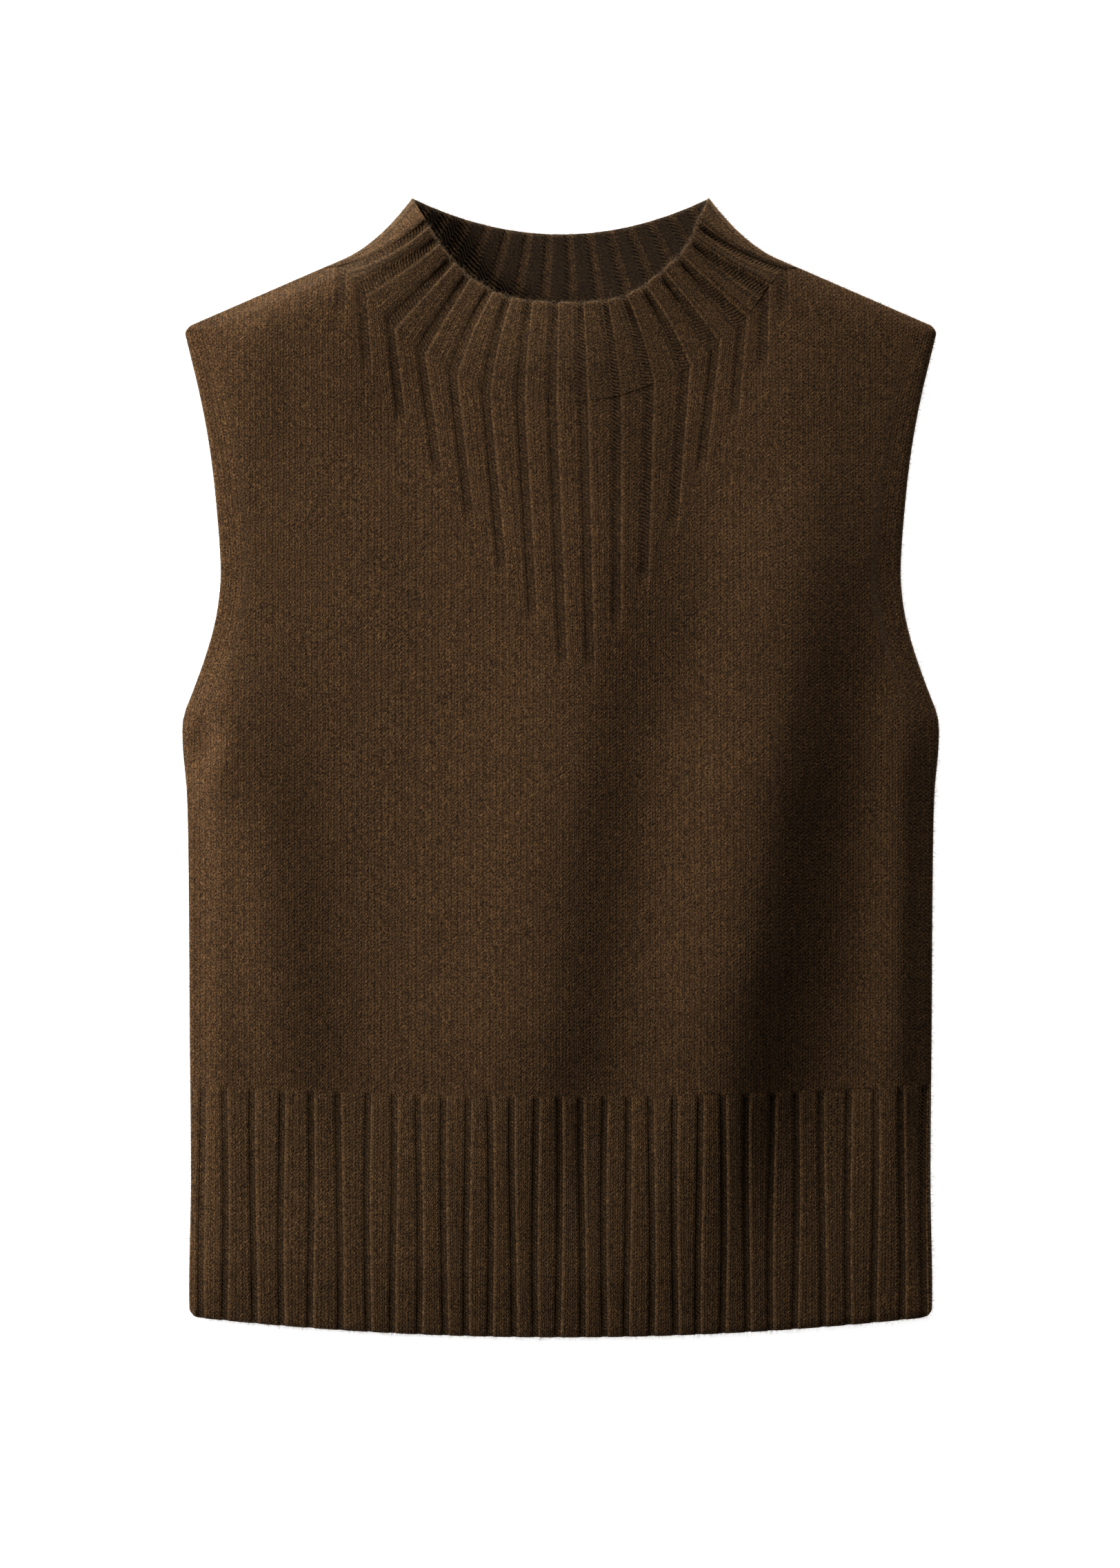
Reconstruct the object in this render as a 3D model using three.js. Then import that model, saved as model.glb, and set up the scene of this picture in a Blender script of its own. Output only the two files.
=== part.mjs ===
// Knitted sweater vest, laid flat on its back with the front up.
// Millimetres: +X is to the right seen from above, +Y towards the neck, +Z up from the surface.
// The origin is the middle of the base of the bounding box.

import * as THREE from 'three';

// Cloth
const WALL = 2.5;               // thickness of the knit
const RIB_DEPTH = 1.3;          // how far a purl channel sinks below the knit ribs beside it
const SEAM = 0.3;               // gap between pieces that are linked together
const NECK_GAP = 0.5;           // the same gap measured along Y where the neckline slopes
const EDGE_ROUND = 3;           // width of the rounded border along free and folded edges
const EDGE_SHARE = 0.4;         // thickness left at the very edge, as a share of the wall
const FRONT_UNDERSIDE = WALL + SEAM;
const FOLD_MIDDLE = WALL + SEAM / 2;

// Body outline
const HALF_LENGTH = 330;        // from the middle to the collar tips, and to the hem's middle
const TIP_X = 86;               // collar tips
const NECK_X = 137;             // where the collar's fold meets the shoulder
const SHOULDER_X = 218.4;       // tip of the shoulder
const SHOULDER_Y = 254.5;
const SHOULDER_SLOPE = 0.435;   // rise of the shoulder line towards the neck
const COLLAR_BEND_X = 126;      // where the shoulder line starts to turn up along the collar
const COLLAR_BEND = 0.0112;     // how fast it turns up
const HEM_CORNER_RISE = 12;     // the hem's corners lie this far above its middle
const HEM_TOP_SIDE = -183;      // top of the hem rib at the sides
const HEM_TOP_SAG = 6.6;        // how much lower that line lies in the middle
const HEM_HALF = 215;           // half the width of the hem

// A row for each bend of the side and the armhole, from the hem up: half the width there
const SIDE = [
  { y: -330, half: 212.5 },
  { y: -312, half: 215.2 },
  { y: -240, half: 214.3 },
  { y: -150, half: 215.0 },
  { y: -60, half: 215.6 },
  { y: -15, half: 216.6 },
  { y: 13, half: 219.0 },
  { y: 29, half: 218.6 },
  { y: 45, half: 212.8 },
  { y: 61, half: 207.0 },
  { y: 78, half: 201.8 },
  { y: 95, half: 198.4 },
  { y: 115, half: 197.0 },
  { y: 157, half: 200.0 },
  { y: 189, half: 204.0 },
  { y: 221, half: 210.2 },
  { y: 254, half: 218.2 },
];

// Front neckline and yoke: a row for each sunken rib line, left to right. It runs from its lower end on the
// body up to the neckline and on to the collar's rim; sag bends its collar part down and sideways.
const YOKE_LINES = [
  { endX: -127.0, endY: 257, neckX: -126.4, neckY: 290.4, rimX: -76.8, rimY: 314.4, sag: 3.5 },
  { endX: -111.2, endY: 227, neckX: -114.8, neckY: 276.4, rimX: -70.8, rimY: 304.4, sag: 1.2 },
  { endX: -91.6, endY: 197, neckX: -98.4, neckY: 255.6, rimX: -62.4, rimY: 293.2, sag: 0.0 },
  { endX: -70.4, endY: 167, neckX: -80.8, neckY: 240.4, rimX: -53.2, rimY: 284.4, sag: -0.5 },
  { endX: -52.0, endY: 139, neckX: -62.4, neckY: 227.2, rimX: -40.4, rimY: 276.4, sag: -1.8 },
  { endX: -33.2, endY: 109, neckX: -43.2, neckY: 215.2, rimX: -30.0, rimY: 272.4, sag: -1.5 },
  { endX: -15.6, endY: 81, neckX: -23.2, neckY: 212.0, rimX: -18.0, rimY: 270.0, sag: -0.7 },
  { endX: 1.6, endY: 54, neckX: -4.8, neckY: 211.0, rimX: -3.2, rimY: 269.2, sag: 0.0 },
  { endX: 17.2, endY: 53, neckX: 13.2, neckY: 211.6, rimX: 11.2, rimY: 269.2, sag: 0.0 },
  { endX: 32.4, endY: 79, neckX: 32.4, neckY: 214.4, rimX: 25.2, rimY: 270.4, sag: 0.7 },
  { endX: 48.0, endY: 103, neckX: 51.6, neckY: 221.2, rimX: 36.4, rimY: 272.8, sag: 1.5 },
  { endX: 64.8, endY: 135, neckX: 72.4, neckY: 230.8, rimX: 47.2, rimY: 278.4, sag: 1.8 },
  { endX: 81.2, endY: 169, neckX: 89.6, neckY: 244.0, rimX: 57.6, rimY: 286.8, sag: 0.5 },
  { endX: 100.0, endY: 197, neckX: 105.2, neckY: 257.2, rimX: 67.6, rimY: 295.6, sag: 0.0 },
  { endX: 117.2, endY: 227, neckX: 118.0, neckY: 275.6, rimX: 75.0, rimY: 305.2, sag: -1.2 },
  { endX: 130.0, endY: 259, neckX: 129.0, neckY: 289.4, rimX: 78.6, rimY: 314.8, sag: -3.5 },
];

// Back neckline and rim
const BACK_NECK_Y = 248;        // lowest point of the back neckline
const BACK_RIM_Y = 309.2;       // lowest point of the back rim
const BACK_SAG = 5.3;           // how far the side folds of the collar bow inwards
const BACK_LINE_FIRST = -77;    // first sunken line inside the back collar, at the rim
const BACK_LINE_PITCH = 11.7;
const BACK_LINE_COUNT = 14;

// Hem rib: a row for each run of equal spacing, left to right
const HEM_FIRST = -207.6;
const HEM_RUNS = [
  { count: 1, pitch: 13.2 },
  { count: 5, pitch: 16.6 },
  { count: 3, pitch: 14.7 },
  { count: 8, pitch: 13.25 },
  { count: 5, pitch: 13.8 },
  { count: 2, pitch: 14.2 },
  { count: 4, pitch: 15.3 },
  { count: 1, pitch: 13.2 },
];
const HEM_WAVER = 0.7;          // sideways wander of a rib
const HEM_WAVER_LENGTH = 38;
const HEM_WAVER_STEP = 1.9;

// Half widths of a sunken line: its floor, and its floor with both walls
const YOKE_LINE = { floor: 2.2, mouth: 3.4 };
const RIM_LINE = { floor: 1.5, mouth: 2.5 };
const HEM_LINE = { floor: 1.5, mouth: 2.4 };
const BACK_LINE = { floor: 1.7, mouth: 2.6 };

// Soft folds of the front: a row for each ridge. It fades in below its upper end and out below its lower
// end; width is the distance from its crest to where most of its height is gone.
const FOLDS = [
  { upperX: -188, upperY: 62, lowerX: -154, lowerY: -190, width: 27, height: 5.5 },
  { upperX: -8, upperY: 60, lowerX: -34, lowerY: -195, width: 36, height: 4.5 },
  { upperX: 142, upperY: 110, lowerX: 88, lowerY: -190, width: 33, height: 8.0 },
  { upperX: 199, upperY: 60, lowerX: 192, lowerY: -170, width: 15, height: 4.0 },
];
const FOLD_IN = { from: -0.2, to: 0.35 };
const FOLD_OUT = { from: 0.9, to: 1.5 };
const LOFT = 1.8;               // how far the front floats over the back away from its edges
const LOFT_REACH = 26;          // distance from an edge over which it rises to that
const HEM_LOFT_REACH = 40;
const RIM_RISE = 2.2;           // how far the front rim stands above the rest of the collar
const SHOULDER_STEEPNESS = 2;   // turns a drop below the shoulder line into a like distance from the side

// Grid rows
const SHOULDER_BAND = 34;       // depth below the shoulder line where the yoke rows end at the sides
const LOWER_ROWS = [0, 0.1, 0.2, 0.31, 0.41, 0.486, 0.531, 0.566, 0.605, 0.65, 0.695, 0.744, 0.844, 1];
const LINE_END = 3;             // length over which a sunken line runs out
const UPPER_ROWS = [0.33, 0.67];
const EDGE_INSETS = [0, 1.3, 4];
const SIDE_SHARES = [0.34, 0.67];
const HEM_ROWS = [0, 0.3, 0.62];
const COLLAR_ROWS = [0, 0.35, 0.7, 0.95, 1];
const COLLAR_INSETS = [0.9, 3];
const COLLAR_INNER_INSETS = [2.75, 3.2];
const COLLAR_INNER_FOLD = 2.6;
const RIM_THINNING = 0.6;       // each face of the rim comes in this far
const BACK_COLUMN_COUNT = 14;

// Yarn
const KNIT = { color: 0x58402a, roughness: 0.96, metalness: 0 };
const RIBBED = { color: 0x523b26, roughness: 0.97, metalness: 0 };

const { clamp, lerp, smoothstep } = THREE.MathUtils;
const straight = (from, to, at) => (at - from) / (to - from);

/** Smooth curve through the rows of a table, which are in rising order of the key. */
function tableCurve(rows, key, value) {
  const slope = (i) => {
    const before = rows[Math.max(i - 1, 0)];
    const after = rows[Math.min(i + 1, rows.length - 1)];
    return (after[value] - before[value]) / (after[key] - before[key]);
  };
  return (at) => {
    const place = clamp(at, rows[0][key], rows.at(-1)[key]);
    const i = Math.max(rows.findIndex((row) => row[key] >= place) - 1, 0);
    const span = rows[i + 1][key] - rows[i][key];
    const s = straight(rows[i][key], rows[i + 1][key], place);
    const rise = s * s * (3 - 2 * s);
    const tangents = span * s * (1 - s) * (slope(i) * (1 - s) - slope(i + 1) * s);
    return lerp(rows[i][value], rows[i + 1][value], rise) + tangents;
  };
}

const sideHalf = tableCurve(SIDE, 'y', 'half');

/** Height of the shoulder line and, nearer the middle, of the collar's folded side. */
function topLine(x) {
  const out = Math.abs(x);
  const turn = Math.max(COLLAR_BEND_X - out, 0);
  return SHOULDER_Y + SHOULDER_SLOPE * (SHOULDER_X - out) + COLLAR_BEND * turn * turn;
}

const hemTop = (x) => HEM_TOP_SIDE - HEM_TOP_SAG * (1 - (x / HEM_HALF) ** 2);
const hemBottom = (x) => -HALF_LENGTH + HEM_CORNER_RISE * (x / HEM_HALF) ** 2;

/** Height of the front neckline: straight from one sunken line to the next. */
function frontNeck(x) {
  const corner = topLine(NECK_X);
  const points = [
    { neckX: -NECK_X, neckY: corner },
    ...YOKE_LINES,
    { neckX: NECK_X, neckY: corner },
  ];
  const place = clamp(x, -NECK_X, NECK_X);
  const i = Math.max(points.findIndex((point) => point.neckX >= place) - 1, 0);
  const share = straight(points[i].neckX, points[i + 1].neckX, place);
  return lerp(points[i].neckY, points[i + 1].neckY, share);
}

const backNeck = (x) => BACK_NECK_Y + (topLine(NECK_X) - BACK_NECK_Y) * (x / NECK_X) ** 2;
const backRim = (x) => BACK_RIM_Y + (HALF_LENGTH - BACK_RIM_Y) * (x / TIP_X) ** 2;

/** Distance from the sides, armholes, shoulders and collar folds. */
function edgeDistance(x, y, steepness) {
  return Math.max(Math.min(sideHalf(y) - Math.abs(x), steepness * (topLine(x) - y)), 0);
}

/** How far the front lies above the back: a gentle loft and the soft folds. */
function lift(x, y) {
  const distance = edgeDistance(x, y, SHOULDER_STEEPNESS);
  const above = y - hemBottom(x);
  let height = LOFT * smoothstep(distance, 0, LOFT_REACH) * smoothstep(above, -1, HEM_LOFT_REACH);
  for (const fold of FOLDS) {
    const t = straight(fold.upperY, fold.lowerY, y);
    const along = smoothstep(t, FOLD_IN.from, FOLD_IN.to) * (1 - smoothstep(t, FOLD_OUT.from, FOLD_OUT.to));
    const across = (x - lerp(fold.upperX, fold.lowerX, t)) / fold.width;
    height += fold.height * along * Math.exp(-across * across) * smoothstep(distance, 0, LOFT_REACH);
  }
  return height;
}

/** Share of the wall's thickness at a distance from a rounded edge. */
function edgeShare(distance) {
  const inward = 1 - clamp(distance / EDGE_ROUND, 0, 1);
  return EDGE_SHARE + (1 - EDGE_SHARE) * Math.sqrt(1 - inward * inward);
}

/** Closed wall between an upper and a lower grid of points; a ring's last column joins its first. */
function wallGeometry(upper, lower, ring = false) {
  const rows = upper.length;
  const columns = upper[0].length;
  const positions = [...upper.flat(), ...lower.flat()].flatMap((point) => point.toArray());
  const at = (r, c) => r * columns + (c % columns);
  const under = (r, c) => rows * columns + at(r, c);
  const faces = [];
  const quad = (a, b, c, d) => faces.push(a, b, c, a, c, d);
  const spans = ring ? columns : columns - 1;
  for (let c = 0; c < spans; c += 1) {
    for (let r = 0; r < rows - 1; r += 1) {
      quad(at(r, c), at(r, c + 1), at(r + 1, c + 1), at(r + 1, c));
      faces.push(under(r, c), under(r + 1, c + 1), under(r, c + 1));
      faces.push(under(r, c), under(r + 1, c), under(r + 1, c + 1));
    }
    quad(at(0, c + 1), at(0, c), under(0, c), under(0, c + 1));
    quad(at(rows - 1, c), at(rows - 1, c + 1), under(rows - 1, c + 1), under(rows - 1, c));
  }
  for (let r = 0; r < rows - 1 && !ring; r += 1) {
    quad(at(r, 0), at(r + 1, 0), under(r + 1, 0), under(r, 0));
    quad(at(r + 1, columns - 1), at(r, columns - 1), under(r, columns - 1), under(r + 1, columns - 1));
  }
  const geometry = new THREE.BufferGeometry();
  geometry.setAttribute('position', new THREE.Float32BufferAttribute(positions, 3));
  geometry.setIndex(faces);
  geometry.computeVertexNormals();
  return geometry;
}

/** The four columns of a sunken line: its two mouths, which are level, and its two floor edges. */
const lineOffsets = (line) => [
  { offset: -line.mouth, sunk: 0 },
  { offset: -line.floor, sunk: 1 },
  { offset: line.floor, sunk: 1 },
  { offset: line.mouth, sunk: 0 },
];

/** Columns of a body panel between its side and the column next to the neck, from the side inwards. */
function sideColumns(side, next) {
  const places = [
    ...EDGE_INSETS.map((inset) => (edge, inner) => edge + Math.sign(inner - edge) * inset),
    ...SIDE_SHARES.map((share) => (edge, inner) => lerp(edge, inner, share)),
  ];
  return places.map((place) => {
    const topX = place(side * SHOULDER_X, next.topX);
    const topY = topLine(topX);
    const endY = topY - SHOULDER_BAND;
    const below = (y) => place(side * sideHalf(y), next.below(y));
    return { topX, topY, endX: below(endY), endY, below, sunk: 0 };
  });
}

/** Columns of the front panel, left to right: its sides, and four for each sunken line of the yoke. */
function frontColumns() {
  const lines = YOKE_LINES.flatMap((line) => lineOffsets(YOKE_LINE).map(({ offset, sunk }) => {
    const topX = line.neckX + offset;
    const endX = line.endX + offset;
    return {
      topX,
      topY: frontNeck(topX) - NECK_GAP / 2,
      endX,
      endY: line.endY,
      below: () => endX,
      sunk,
    };
  }));
  return [...sideColumns(-1, lines[0]), ...lines, ...sideColumns(1, lines.at(-1)).reverse()];
}

/** Columns of the back panel, left to right, plain and wide. */
function backColumns() {
  const across = Array.from({ length: BACK_COLUMN_COUNT + 1 }, (_, i) => {
    const topX = lerp(-NECK_X, NECK_X, i / BACK_COLUMN_COUNT);
    const topY = backNeck(topX) - NECK_GAP / 2;
    return { topX, topY, endX: topX, endY: topY - SHOULDER_BAND, below: () => topX, sunk: 0 };
  });
  return [...sideColumns(-1, across[0]), ...across, ...sideColumns(1, across.at(-1)).reverse()];
}

/** Places of one column of a body panel, from the hem rib up, each with how far its line is sunk. */
function bodyColumn(column) {
  const { topX, topY, endX, endY, below, sunk } = column;
  const foot = hemTop(below(HEM_TOP_SIDE)) + SEAM / 2;
  const lower = LOWER_ROWS.map((share) => {
    const y = lerp(foot, endY, share);
    return { x: below(y), y, sunk: 0 };
  });
  const upward = [
    endY + LINE_END,
    ...UPPER_ROWS.map((share) => lerp(endY, topY, share)),
    ...EDGE_INSETS.map((inset) => topY - inset).reverse(),
  ];
  const upper = upward.map((y) => ({ x: lerp(endX, topX, straight(endY, topY, y)), y, sunk }));
  return [...lower, ...upper];
}

/** Turns a list of columns of places into rows of points. */
const rowsOf = (columns, toPoint) => columns[0].map((_, r) => columns.map((column) => toPoint(column[r])));

/** Distance of a place from the rounded edges of its panel. */
const panelEdge = ({ x, y }) => Math.min(edgeDistance(x, y, 1), y - hemBottom(x));

/** Wall of a front piece: it follows the folds underneath, and its sunken lines are in its upper face. */
function frontWall(columns) {
  const underside = ({ x, y }) => new THREE.Vector3(x, y, FRONT_UNDERSIDE + lift(x, y));
  const face = (place) => {
    const point = underside(place);
    point.z += (WALL - RIB_DEPTH * place.sunk) * edgeShare(panelEdge(place));
    return point;
  };
  return wallGeometry(rowsOf(columns, face), rowsOf(columns, underside));
}

/** Wall of a back piece: level on top, flat underneath, and rounded up at its edges. */
function backWall(columns) {
  const face = ({ x, y }) => new THREE.Vector3(x, y, WALL);
  const underside = (place) => new THREE.Vector3(place.x, place.y, WALL * (1 - edgeShare(panelEdge(place))));
  return wallGeometry(rowsOf(columns, face), rowsOf(columns, underside));
}

/** Middles of the hem's sunken lines, left to right. */
function hemLines() {
  const middles = [HEM_FIRST];
  for (const run of HEM_RUNS) {
    for (let i = 0; i < run.count; i += 1) middles.push(middles.at(-1) + run.pitch);
  }
  return middles;
}

/** Places of one column of a hem piece, from its lower edge up. */
function hemColumn(across, sunk) {
  const bottom = hemBottom(across(-HALF_LENGTH));
  const top = hemTop(across(HEM_TOP_SIDE)) - SEAM / 2;
  const upward = [
    ...EDGE_INSETS.map((inset) => bottom + inset),
    ...HEM_ROWS.map((share) => lerp(top, bottom, share)).reverse(),
  ];
  return upward.map((y) => ({ x: across(y), y, sunk }));
}

/** The two edge columns on one side of a hem piece. */
function hemSides(side) {
  const insets = EDGE_INSETS.slice(0, 2);
  const columns = insets.map((inset) => hemColumn((y) => side * (sideHalf(y) - inset), 0));
  return side < 0 ? columns : columns.reverse();
}

function frontHem() {
  const lines = hemLines().flatMap((middle, i) => {
    const waver = (y) => HEM_WAVER * Math.sin(y / HEM_WAVER_LENGTH + i * HEM_WAVER_STEP);
    return lineOffsets(HEM_LINE).map(({ offset, sunk }) => hemColumn((y) => middle + waver(y) + offset, sunk));
  });
  return frontWall([...hemSides(-1), ...lines, ...hemSides(1)]);
}

function backHem() {
  const plain = Array.from({ length: BACK_COLUMN_COUNT + 1 }, (_, i) => {
    const share = lerp(-1, 1, i / BACK_COLUMN_COUNT);
    return hemColumn((y) => share * (sideHalf(y) - EDGE_INSETS.at(-1)), 0);
  });
  return backWall([...hemSides(-1), ...plain, ...hemSides(1)]);
}

/** A place on the collar between its foot on the neckline and its rim, bowed sideways by sag. */
function collarPlace(foot, rim, sag, v) {
  const along = rim.clone().sub(foot);
  const aside = new THREE.Vector2(along.y, -along.x).normalize();
  return foot.clone().addScaledVector(along, v).addScaledVector(aside, 4 * sag * v * (1 - v));
}

/** Folded side of the collar, which lies along the top line. */
function foldPlace(side, v) {
  const out = lerp(NECK_X, TIP_X, v);
  const rise = lerp(NECK_GAP / 2, 0, v);
  return new THREE.Vector2(side * out, topLine(out) + rise);
}

/** Ribs on the front half of the collar, left to right: four columns for each yoke line. */
function frontCollarColumns() {
  return YOKE_LINES.flatMap((line, i) => {
    const before = YOKE_LINES[Math.max(i - 1, 0)];
    const after = YOKE_LINES[Math.min(i + 1, YOKE_LINES.length - 1)];
    const rimWay = new THREE.Vector2(after.rimX - before.rimX, after.rimY - before.rimY).normalize();
    const rimOffsets = lineOffsets(RIM_LINE);
    return lineOffsets(YOKE_LINE).map(({ offset, sunk }, k) => {
      const footX = line.neckX + offset;
      const foot = new THREE.Vector2(footX, frontNeck(footX) + NECK_GAP / 2);
      const rim = new THREE.Vector2(line.rimX, line.rimY).addScaledVector(rimWay, rimOffsets[k].offset);
      return { sunk, place: (v) => collarPlace(foot, rim, line.sag, v) };
    });
  });
}

/** Ribs on the back half of the collar, left to right. */
function backCollarColumns() {
  const lines = Array.from({ length: BACK_LINE_COUNT }, (_, i) => BACK_LINE_FIRST + i * BACK_LINE_PITCH);
  return lines.flatMap((middle) => lineOffsets(BACK_LINE).map(({ offset, sunk }) => {
    const rimX = middle + offset;
    const footX = rimX * NECK_X / TIP_X;
    const foot = new THREE.Vector2(footX, backNeck(footX) + NECK_GAP / 2);
    const rim = new THREE.Vector2(rimX, backRim(rimX));
    const sag = -Math.sign(rimX) * BACK_SAG * Math.abs(rimX / TIP_X) ** 3;
    return { sunk, place: (v) => collarPlace(foot, rim, sag, v) };
  }));
}

/** One row of the collar tube: outer and inner points, from the left fold round the front and the back. */
function collarRow(front, back, v) {
  const thinning = RIM_THINNING * (v === 1 ? 1 : 0);
  const outer = [];
  const inner = [];
  const push = (place, z, insidePlace, insideZ) => {
    outer.push(new THREE.Vector3(place.x, place.y, z));
    inner.push(new THREE.Vector3(insidePlace.x, insidePlace.y, insideZ));
  };
  const underFront = ({ x, y }) => FRONT_UNDERSIDE + lift(x, y) + RIM_RISE * v * v
    * smoothstep(edgeDistance(x, y, SHOULDER_STEEPNESS), 0, LOFT_REACH);
  const pushFold = (side) => {
    const fold = foldPlace(side, v);
    const beside = side < 0 ? [front[0], back[0]] : [front.at(-1), back.at(-1)];
    const ways = beside.map((column) => column.place(v).sub(fold).normalize());
    const inward = ways[0].clone().add(ways[1]).normalize();
    const inside = fold.clone().addScaledVector(inward, COLLAR_INNER_FOLD);
    const curl = (inset) => Math.sqrt(1 - (1 - inset / COLLAR_INSETS.at(-1)) ** 2);
    const frontSteps = COLLAR_INSETS.map((inset, i) => () => {
      const place = fold.clone().addScaledVector(ways[0], inset);
      const insidePlace = fold.clone().addScaledVector(ways[0], COLLAR_INNER_INSETS[i]);
      const top = underFront(place) + WALL - thinning;
      push(place, lerp(FOLD_MIDDLE, top, curl(inset)), insidePlace, underFront(insidePlace) + thinning);
    });
    const backSteps = COLLAR_INSETS.map((inset, i) => () => {
      const place = fold.clone().addScaledVector(ways[1], inset);
      const insidePlace = fold.clone().addScaledVector(ways[1], COLLAR_INNER_INSETS[i]);
      push(place, lerp(FOLD_MIDDLE, thinning, curl(inset)), insidePlace, WALL - thinning);
    });
    const steps = [...backSteps.reverse(), () => push(fold, FOLD_MIDDLE, inside, FOLD_MIDDLE), ...frontSteps];
    for (const step of side < 0 ? steps : steps.reverse()) step();
  };
  pushFold(-1);
  for (const { sunk, place } of front) {
    const here = place(v);
    const underside = underFront(here);
    push(here, underside + WALL - RIB_DEPTH * sunk - thinning, here, underside + thinning);
  }
  pushFold(1);
  for (const { sunk, place } of [...back].reverse()) {
    const here = place(v);
    push(here, thinning, here, WALL - RIB_DEPTH * sunk - thinning);
  }
  return { outer, inner };
}

function collar() {
  const front = frontCollarColumns();
  const back = backCollarColumns();
  const rows = COLLAR_ROWS.map((v) => collarRow(front, back, v));
  return wallGeometry(rows.map((row) => row.outer), rows.map((row) => row.inner), true);
}

/** A named piece of the vest in its own yarn. */
function piece(name, geometry, yarn) {
  const mesh = new THREE.Mesh(geometry, new THREE.MeshStandardMaterial(yarn));
  mesh.name = name;
  return mesh;
}

const vest = new THREE.Group();
vest.add(piece('back_body', backWall(backColumns().map(bodyColumn)), KNIT));
vest.add(piece('back_hem_rib', backHem(), RIBBED));
vest.add(piece('front_body', frontWall(frontColumns().map(bodyColumn)), KNIT));
vest.add(piece('front_hem_rib', frontHem(), RIBBED));
vest.add(piece('collar', collar(), RIBBED));

export default vest;
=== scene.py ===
"""Dresses the knitted sweater vest: fine ribbed walls, wool finishes, soft light and the view from above."""

import logging
import math
from dataclasses import dataclass, field
from enum import Enum
from typing import Callable, ClassVar

import bmesh
import bpy
import numpy as np
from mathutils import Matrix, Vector, noise

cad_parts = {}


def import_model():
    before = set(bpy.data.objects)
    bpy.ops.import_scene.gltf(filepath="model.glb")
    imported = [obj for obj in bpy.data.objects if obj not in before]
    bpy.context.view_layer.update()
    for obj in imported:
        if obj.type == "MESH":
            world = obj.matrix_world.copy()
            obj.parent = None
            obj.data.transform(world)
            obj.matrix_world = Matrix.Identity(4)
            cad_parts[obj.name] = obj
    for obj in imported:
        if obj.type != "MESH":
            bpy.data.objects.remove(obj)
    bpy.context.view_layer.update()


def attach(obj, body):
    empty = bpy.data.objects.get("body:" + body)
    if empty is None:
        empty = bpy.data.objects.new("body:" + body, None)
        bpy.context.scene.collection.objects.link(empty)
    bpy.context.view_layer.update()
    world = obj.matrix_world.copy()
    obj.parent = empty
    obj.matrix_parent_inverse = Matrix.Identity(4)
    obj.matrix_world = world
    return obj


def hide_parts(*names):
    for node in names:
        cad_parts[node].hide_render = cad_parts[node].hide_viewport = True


LOG = logging.getLogger("vest")
MM = 0.001  # the cloth is sized in millimetres, and the studio and the stitch relief in metres
PHOTO_WIDTH = 1624
PHOTO_HEIGHT = 2273
PHOTO_PIXEL = 0.40  # one photo pixel on the cloth
PHOTO_MIDDLE = (813, 1113)  # the photo pixel at the frame's origin

Array = np.ndarray
Place = tuple[Array, Array]
Pair = tuple[float, float]
Triple = tuple[float, float, float]
Socket = bpy.types.NodeSocket
Inputs = dict[int | str, Socket | float | tuple[float, ...]]
TubeColumn = tuple[Array, Array, float, float]  # outside, inside, stitch count and how far sunk
WHITE = (1.0, 1.0, 1.0, 1.0)


def ramp(value: Array, low: float, high: float) -> Array:
    """Smooth step from 0 at low to 1 at high.

    Args:
        value: Numbers to place between low and high.
        low: Where the step starts.
        high: Where the step ends.

    Returns:
        The step's height at each value.
    """
    share = np.clip((value - low) / (high - low), 0.0, 1.0)
    return share * share * (3.0 - 2.0 * share)


def mix(a: Array, b: Array, share: Array) -> Array:
    """Straight blend from a to b."""
    return a + (b - a) * share


def value_at(line: Callable[[Array], Array], place: float) -> float:
    """A line's value at one place."""
    return float(line(np.float64(place)))


def stacked(x: Array, y: Array, z: Array | float) -> Array:
    """Points from their three coordinates."""
    return np.stack(np.broadcast_arrays(x, y, z), axis=-1)


def unit(ways: Array) -> Array:
    """Each row brought to length 1."""
    return ways / np.linalg.norm(ways, axis=1, keepdims=True)


def placed(name: str, data: bpy.types.ID) -> bpy.types.Object:
    """A new object of that data, in the scene."""
    made = bpy.data.objects.new(name, data)
    bpy.context.scene.collection.objects.link(made)
    return made


@dataclass(frozen=True)
class Bend:
    """One bend of the vest's side: half its width at a height above the middle."""

    y: float
    half: float


@dataclass(frozen=True)
class Fold:
    """One soft ridge of the front, between its upper and its lower end, steeper on its right side."""

    upper: Pair
    lower: Pair
    width: float
    height: float
    right_width: float
    fade_in: Pair = (-0.2, 0.35)
    fade_out: Pair = (0.9, 1.5)

    def rise(self, x: Array, y: Array) -> Array:
        """Height of the ridge at each place."""
        t = (y - self.upper[1]) / (self.lower[1] - self.upper[1])
        along = ramp(t, *self.fade_in) * (1 - ramp(t, *self.fade_out))
        off = x - mix(self.upper[0], self.lower[0], t)
        across = off / np.where(off > 0, self.right_width, self.width)
        return self.height * along * np.exp(-across * across)


@dataclass(frozen=True)
class Dimple:
    """One small soft hollow."""

    place: Pair
    radius: Pair
    depth: float

    def drop(self, x: Array, y: Array) -> Array:
        """Depth of the hollow at each place."""
        across, along = (x - self.place[0]) / self.radius[0], (y - self.place[1]) / self.radius[1]
        return self.depth * np.exp(-across * across - along * along)


@dataclass(frozen=True)
class RibLine:
    """One sunken line of the yoke: its lower end, its place on the neckline, its place on the rim."""

    end: Pair
    neck: Pair
    rim: Pair
    sag: float


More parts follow.
